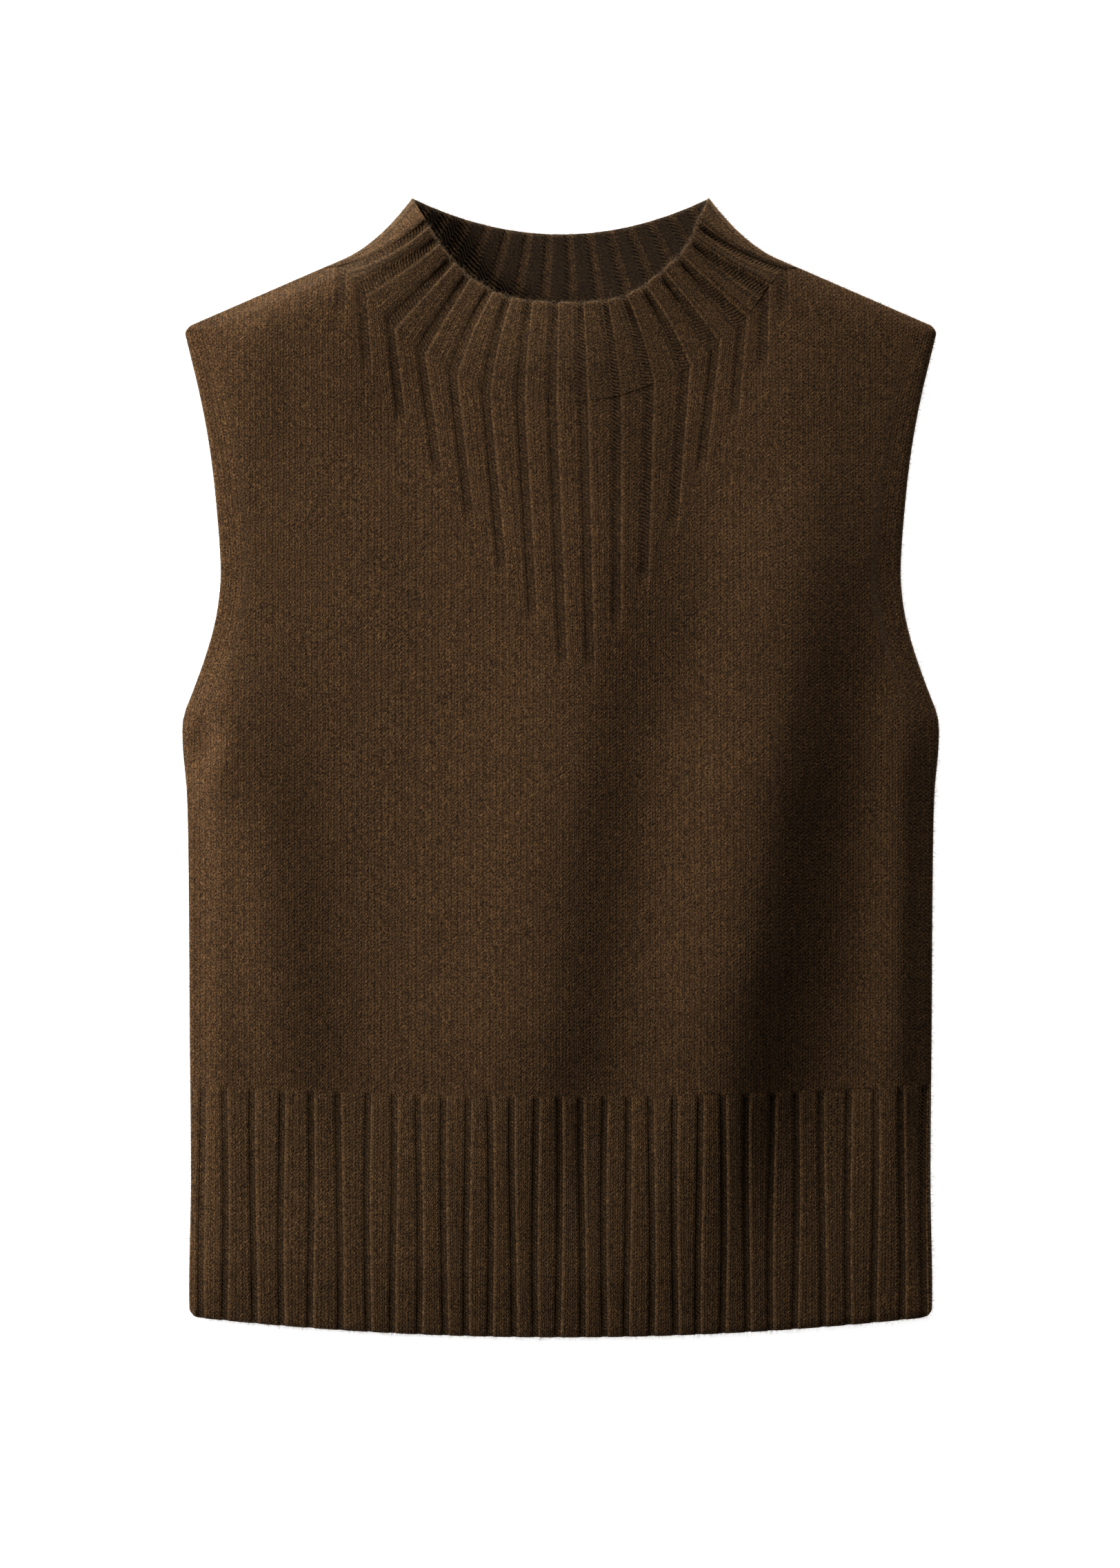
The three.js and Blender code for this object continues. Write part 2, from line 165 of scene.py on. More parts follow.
@dataclass(frozen=True)
class Groove:
    """A sunken line across: half widths of its floor and mouth, its depth, and its steeper far side."""

    floor: float
    mouth: float
    depth: float
    far_floor: float
    lip: float = 1.3
    lip_width: float = 0.1

    def lip_at(self, offset: float) -> float:
        """Share of the rib's crown on the line's far edge, which stands a little proud."""
        return self.lip if self.mouth - self.lip_width <= offset else 0.0

    def sunk(self, offset: float) -> float:
        """Share of the full depth at a distance from the line's middle, negative on its near side."""
        inner = self.far_floor if offset > 0 else self.floor
        return float(1.0 - ramp(np.float64(abs(offset)), inner, self.mouth))


@dataclass(frozen=True)
class Outline:
    """The flat vest's outline, as the solids have it."""

    half_length: float = 330.0
    tip_x: float = 86.0
    neck_x: float = 137.0
    shoulder_x: float = 218.4
    shoulder_y: float = 254.5
    shoulder_slope: float = 0.435
    collar_bend_x: float = 126.0
    collar_bend: float = 0.0112
    hem_corner_rise: float = 12.0
    hem_top_side: float = -183.0
    hem_top_sag: float = 6.6
    hem_half: float = 215.0
    back_neck_y: float = 248.0
    back_rim_y: float = 309.2
    shoulder_round: float = 4.0
    shoulder_cosine: float = 0.917
    shoulder_way: Pair = (0.32, 0.95)
    hem_round: float = 5.0
    hem_way: Pair = (0.0, -1.0)
    long_edge_points: int = 200
    short_edge_points: int = 60
    side: tuple[Bend, ...] = (
        Bend(-330, 212.5),
        Bend(-312, 215.2),
        Bend(-240, 214.3),
        Bend(-150, 215.0),
        Bend(-60, 215.6),
        Bend(-15, 216.6),
        Bend(13, 219.0),
        Bend(29, 218.6),
        Bend(45, 212.8),
        Bend(61, 207.0),
        Bend(78, 201.8),
        Bend(95, 198.4),
        Bend(115, 197.0),
        Bend(157, 200.0),
        Bend(189, 204.0),
        Bend(221, 210.2),
        Bend(254, 218.2),
    )

    def side_half(self, y: Array) -> Array:
        """Half the vest's width at a height: a smooth curve through the bends.

        Args:
            y: Heights above the middle.

        Returns:
            Half the width at each height.
        """
        keys = np.array([bend.y for bend in self.side])
        values = np.array([bend.half for bend in self.side])
        order = np.arange(len(keys))
        before, after = np.maximum(order - 1, 0), np.minimum(order + 1, len(keys) - 1)
        slopes = (values[after] - values[before]) / (keys[after] - keys[before])
        place = np.clip(y, keys[0], keys[-1])
        i = np.clip(np.searchsorted(keys, place) - 1, 0, len(keys) - 2)
        span = keys[i + 1] - keys[i]
        s = (place - keys[i]) / span
        rise = s * s * (3 - 2 * s)
        tangents = span * s * (1 - s) * (slopes[i] * (1 - s) - slopes[i + 1] * s)
        return mix(values[i], values[i + 1], rise) + tangents

    def top_line(self, x: Array) -> Array:
        """Height of the shoulder line and, nearer the middle, of the collar's folded side."""
        out = np.abs(x)
        turn = np.maximum(self.collar_bend_x - out, 0)
        return self.shoulder_y + self.shoulder_slope * (self.shoulder_x - out) + self.collar_bend * turn**2

    def hem_top(self, x: Array) -> Array:
        """Height of the line where the hem rib starts."""
        return self.hem_top_side - self.hem_top_sag * (1 - (x / self.hem_half) ** 2)

    def hem_bottom(self, x: Array) -> Array:
        """Height of the lower edge."""
        return -self.half_length + self.hem_corner_rise * (x / self.hem_half) ** 2

    def back_neck(self, x: Array) -> Array:
        """Height of the back neckline."""
        corner = value_at(self.top_line, self.neck_x)
        return self.back_neck_y + (corner - self.back_neck_y) * (x / self.neck_x) ** 2

    def front_neck(self, x: float) -> float:
        """Height of the front neckline, straight from one sunken line to the next."""
        corner = value_at(self.top_line, self.neck_x)
        xs = [-self.neck_x, *(line.neck[0] for line in YOKE_LINES), self.neck_x]
        ys = [corner, *(line.neck[1] for line in YOKE_LINES), corner]
        return float(np.interp(x, xs, ys))

    def back_rim(self, x: Array) -> Array:
        """Height of the back of the collar's rim."""
        return self.back_rim_y + (self.half_length - self.back_rim_y) * (x / self.tip_x) ** 2

    def rounded(self, x: Array, y: Array) -> Place:
        """Draws the shoulder tips and the hem's corners in to soft rounds.

        Args:
            x: Places to the right of the middle.
            y: Places above the middle.

        Returns:
            The places, moved in only near the corners.
        """
        out = self.side_half(y) - np.abs(x)
        for radius, off, way in (
            (self.shoulder_round, (self.top_line(x) - y) * self.shoulder_cosine, self.shoulder_way),
            (self.hem_round, y - self.hem_bottom(x), self.hem_way),
        ):
            a, b = (np.clip(1 - part / radius, 0, 1) for part in (out, off))
            near = np.abs(x) > self.neck_x
            pull_out = (a - a * np.sqrt(1 - b * b / 2)) * radius * near
            pull_up = (b - b * np.sqrt(1 - a * a / 2)) * radius * near
            x = x - np.sign(x) * (pull_out + pull_up * way[0])
            y = y - pull_up * way[1]
        return x, y

    def right_edge(self) -> Place:
        """The right side from the hem rib up to the shoulder's tip, and the shoulder in to the neck."""
        side_y = np.linspace(self.hem_top_side, self.shoulder_y, self.long_edge_points)
        shoulder = np.linspace(self.shoulder_x, self.neck_x, self.short_edge_points)[1:]
        x = np.concatenate([self.side_half(side_y), shoulder])
        y = np.concatenate([side_y, self.top_line(shoulder)])
        return self.rounded(x, y)

    def lower_edge(self) -> Place:
        """The hem rib's edge: down the left side, along the bottom, and up the right side."""
        corner = value_at(self.hem_bottom, self.hem_half)
        side_y = np.linspace(corner, self.hem_top_side, self.short_edge_points)
        half = value_at(self.side_half, corner)
        bottom = np.linspace(-half, half, self.long_edge_points)
        x = np.concatenate([-self.side_half(side_y[::-1]), bottom[1:-1], self.side_half(side_y)])
        y = np.concatenate([side_y[::-1], self.hem_bottom(bottom[1:-1]), side_y])
        return self.rounded(x, y)

    def edge_distance(self, x: Array, y: Array, steepness: float) -> Array:
        """Distance inwards from the sides, armholes, shoulders and collar folds."""
        inside = np.minimum(self.side_half(y) - np.abs(x), steepness * (self.top_line(x) - y))
        return np.maximum(inside, 0.0)


@dataclass(frozen=True)
class Drape:
    """How the front lies over the back: a gentle loft, the soft folds, and the knit's small unevenness."""

    outline: Outline = Outline()
    folds: tuple[Fold, ...] = (
        Fold((-182, 62), (-156, -190), 25, 6.2, 28, (-0.2, 0.35), (0.6, 1.3)),
        Fold((14, 80), (-15, -195), 56, 10.4, 38, (-0.35, 0.4), (0.75, 1.4)),
        Fold((134, 110), (92, -190), 52, 14.8, 39, (-0.4, 0.4), (0.7, 1.5)),
        Fold((130, 235), (134, 110), 42, 3.8, 32, (-0.3, 0.3), (0.8, 1.6)),
        Fold((200, 70), (194, -170), 18, 3.6, 34),
        Fold((-12, 265), (54, 80), 80, 9.0, 41, (-0.2, 0.2), (0.65, 1.35)),
        Fold((-203, 60), (-203, -190), 13, 1.7, 45, (-0.2, 0.3), (0.8, 1.4)),
    )
    dimples: tuple[Dimple, ...] = (
        Dimple((-205, 16), (8.5, 13), 5.8),
        Dimple((-158, 200), (16, 40), 1.0),
    )
    dimple_reach: float = 9.0
    loft: float = 2.6
    reach: float = 21.0
    loft_reach: float = 20.0
    pinch: Dimple = Dimple((-201, 12), (19, 36), 4.6)
    roll: float = 5.6
    roll_width: float = 13.0
    roll_end: Pair = (20.0, 130.0)
    roll_side: float = 48.0
    right_flatness: float = 0.76
    right_reach: float = 150.0
    hem_reach: float = 40.0
    steepness: float = 2.0
    ripple: float = 0.35
    ripple_length: float = 34.0

    def lift(self, x: Array, y: Array) -> Array:
        """Height of the front's underside above its lowest place.

        Args:
            x: Places to the right of the middle.
            y: Places above the middle.

        Returns:
            The height at each place.
        """
        distance = self.outline.edge_distance(x, y, self.steepness)
        above = y - self.outline.hem_bottom(x)
        rise = ramp(distance, 0, self.reach)
        flatness = 1 - self.right_flatness * ramp(x, 0, self.right_reach)
        height = self.loft * flatness * ramp(distance, 0, self.loft_reach) * ramp(above, -1, self.hem_reach)
        height = height + self.pinch.drop(x, y) * ramp(distance, 0, self.dimple_reach)
        inward = np.maximum(self.outline.top_line(x) - y, 0.0)
        rolled = (1 - np.exp(-((inward / self.roll_width) ** 2))) * (1 - ramp(inward, *self.roll_end))
        armhole = ramp(self.outline.side_half(y) - np.abs(x), 0, self.roll_side)
        height = height + self.roll * flatness * rolled * armhole
        for fold in self.folds:
            height = height + fold.rise(x, y) * rise
        for dimple in self.dimples:
            height = height - dimple.drop(x, y) * ramp(distance, 0, self.dimple_reach)
        return np.maximum(height, 0.0)

    def unevenness(self, x: Array, y: Array) -> Array:
        """Small soft hollows and swellings of the hand of the knit, zero at the edges."""
        flat_x, flat_y = np.ravel(x) / self.ripple_length, np.ravel(y) / self.ripple_length
        waves = np.array([noise.noise(Vector((a, b, 0.0))) for a, b in zip(flat_x, flat_y)])
        distance = self.outline.edge_distance(x, y, self.steepness)
        return self.ripple * waves.reshape(np.shape(x)) * ramp(distance, 0, self.reach)


YOKE_LINES: tuple[RibLine, ...] = (
    RibLine((-127.0, 257), (-126.4, 290.4), (-76.8, 314.4), 3.5),
    RibLine((-111.2, 227), (-114.8, 276.4), (-70.8, 304.4), 1.2),
    RibLine((-91.6, 197), (-98.4, 255.6), (-62.4, 293.2), 0.0),
    RibLine((-70.4, 167), (-80.8, 240.4), (-53.2, 284.4), -0.5),
    RibLine((-52.0, 139), (-62.4, 227.2), (-40.4, 276.4), -1.8),
    RibLine((-33.2, 109), (-43.2, 215.2), (-30.0, 272.4), -1.5),
    RibLine((-15.6, 81), (-23.2, 212.0), (-18.0, 270.0), -0.7),
    RibLine((1.6, 54), (-4.8, 211.0), (-3.2, 269.2), 0.0),
    RibLine((17.2, 53), (13.2, 211.6), (11.2, 269.2), 0.0),
    RibLine((32.4, 79), (32.4, 214.4), (25.2, 270.4), 0.7),
    RibLine((48.0, 103), (51.6, 221.2), (36.4, 272.8), 1.5),
    RibLine((64.8, 135), (72.4, 230.8), (47.2, 278.4), 1.8),
    RibLine((81.2, 169), (89.6, 244.0), (57.6, 286.8), 0.5),
    RibLine((100.0, 197), (105.2, 257.2), (67.6, 295.6), 0.0),
    RibLine((117.2, 227), (118.0, 275.6), (75.0, 305.2), -1.2),
    RibLine((130.0, 259), (129.0, 289.4), (78.6, 314.8), -3.5),
)


@dataclass(frozen=True)
class Cloth:
    """The knit's own sizes, shared by every piece."""

    wall: float = 2.5
    seam: float = 0.3
    seam_tuck: float = 0.22
    edge_round: float = 5.5
    edge_share: float = 0.25
    wale: float = 3.24
    course: float = 2.28
    crest_wales: int = 3
    groove_wales: int = 2
    yoke_groove: Groove = Groove(1.6, 3.8, 0.56, 2.2)
    rim_groove: Groove = Groove(1.1, 2.8, 0.56, 1.5)
    hem_groove: Groove = Groove(1.0, 2.8, 0.5, 1.5)
    back_groove: Groove = Groove(1.2, 2.9, 0.6, 1.5)
    crown: float = 0.2
    crests: tuple[Pair, ...] = ((0.25, 0.75), (0.5, 1.0), (0.75, 0.75))

    @property
    def front_underside(self) -> float:
        """Height of the front's underside where nothing lifts it."""
        return self.wall + self.seam

    @property
    def rib_wales(self) -> int:
        """Stitches across one rib and one sunken line."""
        return self.crest_wales + self.groove_wales

    def wales_off(self, offset: float, groove: Groove) -> float:
        """Stitches between a sunken line's middle and an offset from it."""
        inside = max(-1.0, min(1.0, offset / groove.mouth)) * self.groove_wales / 2
        beyond = max(abs(offset) - groove.mouth, 0.0) / self.wale
        return inside + math.copysign(beyond, offset)

    @property
    def fold_middle(self) -> float:
        """Height of the collar's folded edge."""
        return self.wall + self.seam / 2

    def share(self, distance: Array) -> Array:
        """Share of the wall's thickness at a distance from a rounded edge."""
        inward = 1 - np.clip(distance / self.edge_round, 0, 1)
        return self.edge_share + (1 - self.edge_share) * np.sqrt(1 - inward**2)

    def pressed(self, sunk: Array, share: Array) -> Array:
        """Height of the back's outside, which faces down: raised in the sunken lines and at the edges."""
        return self.wall * (1 - share) + self.back_groove.depth * sunk * share


@dataclass
class Weave:
    """What a wall's grid carries: both faces' points, stitch counts, how far it is sunk, and seams."""

    face: Array
    underside: Array
    wales: Array
    courses: Array
    purl: Array
    seam: Array
    ring: bool = False
    # purl share of the underside: on the collar's inside it runs past 1 and so paints shade there
    inner_purl_and_painted_shade: Array | None = None


@dataclass(frozen=True)
class WoolFinish:
    """Fuzzy wool yarn, knitted: stitch relief, painted shade between the stitches and in the sunken lines,
    heather and sheen.
    """

    name: str
    yarn: Triple
    second_yarn: Triple
    yarn_span: Pair = (0.38, 0.62)
    # painted shade: the yarn is darkened down to this share where the stitch height is lowest, between the
    # stitches
    shade: float = 0.62
    # painted shade on the purl stitches that fill the sunken lines' floors, as though in the crests' shadow
    purl_painted_shade: float = 0.72
    # painted shade in the gaps between stitch columns
    wale_gap_painted_shade: float = 0.4
    line_sharpness: float = 3.0
    # painted shade in the gaps between stitch rows
    course_gap_painted_shade: float = 0.18
    relief: float = 0.00025
    fuzz_relief: float = 0.45
    stitch_relief: float = 0.8
    fuzz_scale: float = 1150.0
    fleck: float = 4.8
    darkest_fleck: float = 0.2
    leg_tone: float = 0.5
    leg_power: float = 0.7
    leg_round: Pair = (0.65, 0.35)
    heather: float = 0.2
    heather_scale: float = 420.0
    cloud: float = 0.16
    cloud_scale: float = 24.0
    streak: float = 0.2
    streak_steps: Pair = (1.0, 0.3)
    lean: float = 1.6
    purl_slant: float = 0.9
    purl_cut: float = 0.35
    purl_stroke: Pair = (1.6, -0.55)
    wobble: Pair = (0.44, 0.88)
    wobble_scale: Pair = (330.0, 273.9)
    sheen: float = 0.16
    sheen_roughness: float = 0.5
    sheen_tint: Triple = (0.95, 0.78, 0.55)
    roughness: float = 0.95
    specular: float = 0.08

    def material(self) -> bpy.types.Material:
        """Builds the shader.

        Returns:
            The wool material, patterned by the piece's stitch counts.
        """
        sheet = ShaderSheet(self.name)
        purl = sheet.attribute("purl")
        sways = [sheet.math("SUBTRACT", sheet.noise(scale, detail=2.0), 0.5) for scale in self.wobble_scale]
        wales, courses = (
            sheet.math("MULTIPLY_ADD", sway, width, count)
            for sway, width, count in zip(sways, self.wobble, sheet.split_uv("stitches"))
        )
        across = sheet.math("ABSOLUTE", sheet.math("SUBTRACT", sheet.math("FRACT", wales), 0.5))
        climb = sheet.math("SUBTRACT", courses, sheet.math("MULTIPLY", across, self.lean))
        stitch = self._stitch(sheet, wales, courses, across, climb, purl)
        fuzz = sheet.noise(self.fuzz_scale, detail=1.0)
        fleck = sheet.math("MAXIMUM", sheet.swing(fuzz, self.fleck), self.darkest_fleck)
        # where painted shade falls in the gap between two wales, and how much: less in the sunken lines
        wale_gap_mask = sheet.math("POWER", sheet.math("MULTIPLY", across, 2.0), self.line_sharpness)
        knitted = sheet.math("MAXIMUM", sheet.math("SUBTRACT", self.wale_gap_painted_shade, purl), 0.0)
        # The yarn's tone: painted shade between the stitches, on the purl stitches of the sunken lines and in
        # the gaps between wales and rows, times the yarn's own heather, streaks, flecks and random tone of each
        # leg
        value = sheet.product(
            sheet.math("MULTIPLY_ADD", stitch, 1 - self.shade, self.shade),
            # painted shade in the sunken lines
            sheet.lessened(purl, 1 - self.purl_painted_shade),
            sheet.swing(sheet.noise(self.heather_scale, detail=3.0), self.heather),
            sheet.swing(sheet.noise(self.cloud_scale, detail=2.0, roughness=0.5), self.cloud),
            sheet.swing(sheet.counted_noise(wales, courses, self.streak_steps), self.streak),
            fleck,
            sheet.swing(sheet.cell_noise(wales, climb), self.leg_tone),
            sheet.lessened(wale_gap_mask, knitted),
            sheet.math("MULTIPLY_ADD", sheet.wave(courses), self.course_gap_painted_shade, 1 - self.course_gap_painted_shade),
        )
        yarn = sheet.two_colours(self.yarn, self.second_yarn, fuzz, self.yarn_span)
        stitched = sheet.math("MULTIPLY", stitch, self.stitch_relief)
        height = sheet.math("MULTIPLY_ADD", fuzz, self.fuzz_relief, stitched)
        sheet.feed(sheet.shader, {
            "Base Color": sheet.scaled_colour(yarn, value),
            "Roughness": self.roughness,
            "Specular IOR Level": self.specular,
            "Sheen Weight": self.sheen,
            "Sheen Roughness": self.sheen_roughness,
            "Sheen Tint": (*self.sheen_tint, 1.0),
            "Normal": sheet.bump(height, self.relief),
        })
        return sheet.material

    def _stitch(self, sheet: "ShaderSheet", *places: Socket) -> Socket:
        """Height of the stitches: two slanted legs each on the knit side, slanted dashes on the purl side."""
        wales, courses, across, climb, purl = places
        leg = sheet.math("POWER", sheet.wave(climb), self.leg_power)
        knit = sheet.math("MULTIPLY", leg, sheet.math("MULTIPLY_ADD", sheet.wave(across, 2), *self.leg_round))
        bump = sheet.wave(sheet.math("MULTIPLY_ADD", wales, self.purl_slant, courses))
        cut = sheet.math("MULTIPLY_ADD", sheet.wave(wales, 2), self.purl_cut, 1 - self.purl_cut)
        dash = sheet.math("MULTIPLY", bump, cut)
        return sheet.blend(knit, sheet.math("MULTIPLY_ADD", dash, *self.purl_stroke), purl)


class ShaderSheet:
    """A material's node tree, with short calls for the few kinds of node that the finishes need."""

    def __init__(self, name: str) -> None:
        """Starts an empty material with one Principled shader."""
        self.material = bpy.data.materials.new(name)
        self.material.use_nodes = True
        self.nodes = self.material.node_tree.nodes
        self.shader = self.nodes["Principled BSDF"]

    def feed(self, node: bpy.types.Node, inputs: Inputs) -> None:
        """Gives each named or numbered input of a node a link or a value."""
        for slot, value in inputs.items():
            if isinstance(value, Socket):
                self.material.node_tree.links.new(value, node.inputs[slot])
            else:
                node.inputs[slot].default_value = value

    def node(self, kind: str, inputs: Inputs, **options: str) -> bpy.types.Node:
        """Makes a node.

        Args:
            kind: The node's type, without the ShaderNode that starts it.
            inputs: The links and values of its inputs.
            **options: The node's own settings.

        Returns:
            The node.
        """
        made = self.nodes.new(f"ShaderNode{kind}")
        for option, value in options.items():
            setattr(made, option, value)
        self.feed(made, inputs)
        return made

    def math(self, operation: str, *values: Socket | float) -> Socket:
        """The result of one arithmetic step."""
        return self.node("Math", dict(enumerate(values)), operation=operation).outputs[0]

    def product(self, *values: Socket) -> Socket:
        """All values multiplied."""
        result = values[0]
        for value in values[1:]:
            result = self.math("MULTIPLY", result, value)
        return result

    def swing(self, value: Socket, width: float) -> Socket:
        """A value between 0 and 1, turned into a swing of that width round 1."""
        return self.math("MULTIPLY_ADD", value, width, 1 - width / 2)

    def lessened(self, value: Socket, share: Socket | float) -> Socket:
        """1 less a share of a value."""
        return self.math("SUBTRACT", 1.0, self.math("MULTIPLY", value, share))

    def wave(self, value: Socket, count: int = 1) -> Socket:
        """Round bumps from 0 to 1, that many to each whole step of the value."""
        return self.math("ABSOLUTE", self.math("SINE", self.math("MULTIPLY", value, count * math.pi)))

    def blend(self, a: Socket, b: Socket, share: Socket) -> Socket:
        """Blend of two values by a third."""
        return self.node("Mix", {0: share, 2: a, 3: b}, data_type="FLOAT").outputs[0]

    def split_uv(self, name: str) -> tuple[Socket, Socket]:
        """The two numbers of a piece's UV map."""
        split = self.node("SeparateXYZ", {0: self.node("UVMap", {}, uv_map=name).outputs[0]})
        return split.outputs[0], split.outputs[1]

    def attribute(self, name: str) -> Socket:
        """A number that the piece's points carry."""
        return self.node("Attribute", {}, attribute_name=name).outputs["Fac"]

    def noise(self, scale: float, detail: float, roughness: float = 0.6, place: Socket | None = None) -> Socket:
        """Noise in the piece's own space, or at another place."""
        if place is None:
            place = self.node("TexCoord", {}).outputs["Object"]
        inputs = {"Scale": scale, "Detail": detail, "Roughness": roughness, "Vector": place}
        return self.node("TexNoise", inputs).outputs["Fac"]

    def counted_noise(self, wales: Socket, courses: Socket, steps: Pair) -> Socket:
        """Noise that follows the stitch counts, drawn out along the wales."""
        counts = {i: self.math("MULTIPLY", count, steps[i]) for i, count in enumerate((wales, courses))}
        return self.noise(1.0, 3.0, place=self.node("CombineXYZ", counts).outputs[0])

    def cell_noise(self, wales: Socket, climb: Socket) -> Socket:
        """A random tone for each leg of each stitch."""
        legs = (self.math("MULTIPLY", wales, 2.0), climb)
        cell = self.node("CombineXYZ", {i: self.math("FLOOR", leg) for i, leg in enumerate(legs)})
        return self.node("TexWhiteNoise", {"Vector": cell.outputs[0]}, noise_dimensions="2D").outputs["Value"]

    def two_colours(self, a: Triple, b: Triple, share: Socket, span: Pair) -> Socket:
        """Two colours, blended where the share is inside the span."""
        part = self.node("MapRange", {"From Min": span[0], "From Max": span[1], "Value": share})
        inputs = {"A": (*a, 1.0), "B": (*b, 1.0), 0: part.outputs[0]}
        return self.node("Mix", inputs, data_type="RGBA").outputs["Result"]

    def scaled_colour(self, colour: Socket, value: Socket) -> Socket:
        """A colour made lighter or darker by a value."""
        return self.node("VectorMath", {0: colour, "Scale": value}, operation="SCALE").outputs[0]

    def bump(self, height: Socket, distance: float) -> Socket:
        """A bump of that real height."""
        return self.node("Bump", {"Strength": 1.0, "Distance": distance, "Height": height}).outputs[0]


class Slot(Enum):
    """The pieces' material slots."""

    KNIT = "knit"
    RIB = "rib"
    COLLAR = "collar_rib"


@dataclass(frozen=True)
class Fringe:
    """Short loose fibres that stand off a wall's edge and soften it, in one mesh."""

    # the wool's brown, painted lighter to stand in for light passing through the fibres
    tone: Triple = (0.17, 0.112, 0.066)
    per_mm: float = 12.0
    length: float = 1.3
    width: float = 0.085
    narrowing: Triple = (1.0, 0.8, 0.3)
    spread: float = 0.7
    tilt: float = 0.3
    curl: float = 0.2
    set_back: float = 2.0
    depth: float = 1.5
    seed: int = 5

    def build(self, name: str, paths: list[Array]) -> bpy.types.Object:
        """Grows the fibres along edges.

        Args:
            name: The piece's name.
            paths: Edges as rows of x, y and z, each with the cloth on its left.

        Returns:
            The fibres' object.
        """
        chance = np.random.default_rng(self.seed)
        roots, ways = [], []
        for path in paths:
            run = np.concatenate([[0.0], np.cumsum(np.hypot(*np.diff(path[:, :2], axis=0).T))])
            at = chance.uniform(0, run[-1], int(run[-1] * self.per_mm))
            roots.append(np.stack([np.interp(at, run, part) for part in path.T], axis=-1))
            ahead = np.stack([
                np.interp(at + 1, run, part) - np.interp(at - 1, run, part) for part in path.T[:2]
            ])
            ways.append((np.array([ahead[1], -ahead[0]]) / np.hypot(*ahead)).T)
        root, out = np.concatenate(roots), np.concatenate(ways)
        count = len(root)
        back = chance.uniform(0, self.set_back, count)
        root[:, :2] -= out * back[:, None]
        root[:, 2] += chance.uniform(-self.depth, self.depth, count) + back * self.tilt
        turn = chance.normal(0, self.spread, count)
        way = np.stack([
            out[:, 0] * np.cos(turn) - out[:, 1] * np.sin(turn),
            out[:, 0] * np.sin(turn) + out[:, 1] * np.cos(turn),
            chance.normal(0, self.tilt, count),
        ], axis=-1)
        aside = np.stack([-way[:, 1], way[:, 0], np.zeros(count)], axis=-1)
        reach = (self.length * chance.gamma(2.0, 0.5, count))[:, None]
        bend = (self.curl * chance.normal(0, 1, count))[:, None] * reach
        spine = (root, root + way * reach / 2 + aside * bend, root + way * reach)
        rows = [
            point + aside * side * self.width / 2 * share
            for point, share in zip(spine, self.narrowing)
            for side in (-1, 1)
        ]
        points = np.stack(rows, axis=1).reshape(-1, 3) * MM
        points[:, 2] = np.maximum(points[:, 2], 0.0)
        first = np.arange(count)[:, None] * len(rows)
        faces = np.concatenate([first + np.array(corner) for corner in ((0, 2, 3, 1), (2, 4, 5, 3))])
        mesh = bpy.data.meshes.new(name)
        mesh.from_pydata(points.tolist(), [], faces.tolist())
        mesh.materials.append(self._material())
        LOG.info("%s: %d fibres", name, count)
        return placed(name, mesh)

    def _material(self) -> bpy.types.Material:
        """Plain matt wool, painted lighter than the knit to stand in for the light that passes the fibres."""
        sheet = ShaderSheet("loose_wool_fibre")
        sheet.feed(sheet.shader, {"Base Color": (*self.tone, 1.0), "Roughness": 1.0, "Specular IOR Level": 0.0})
        return sheet.material


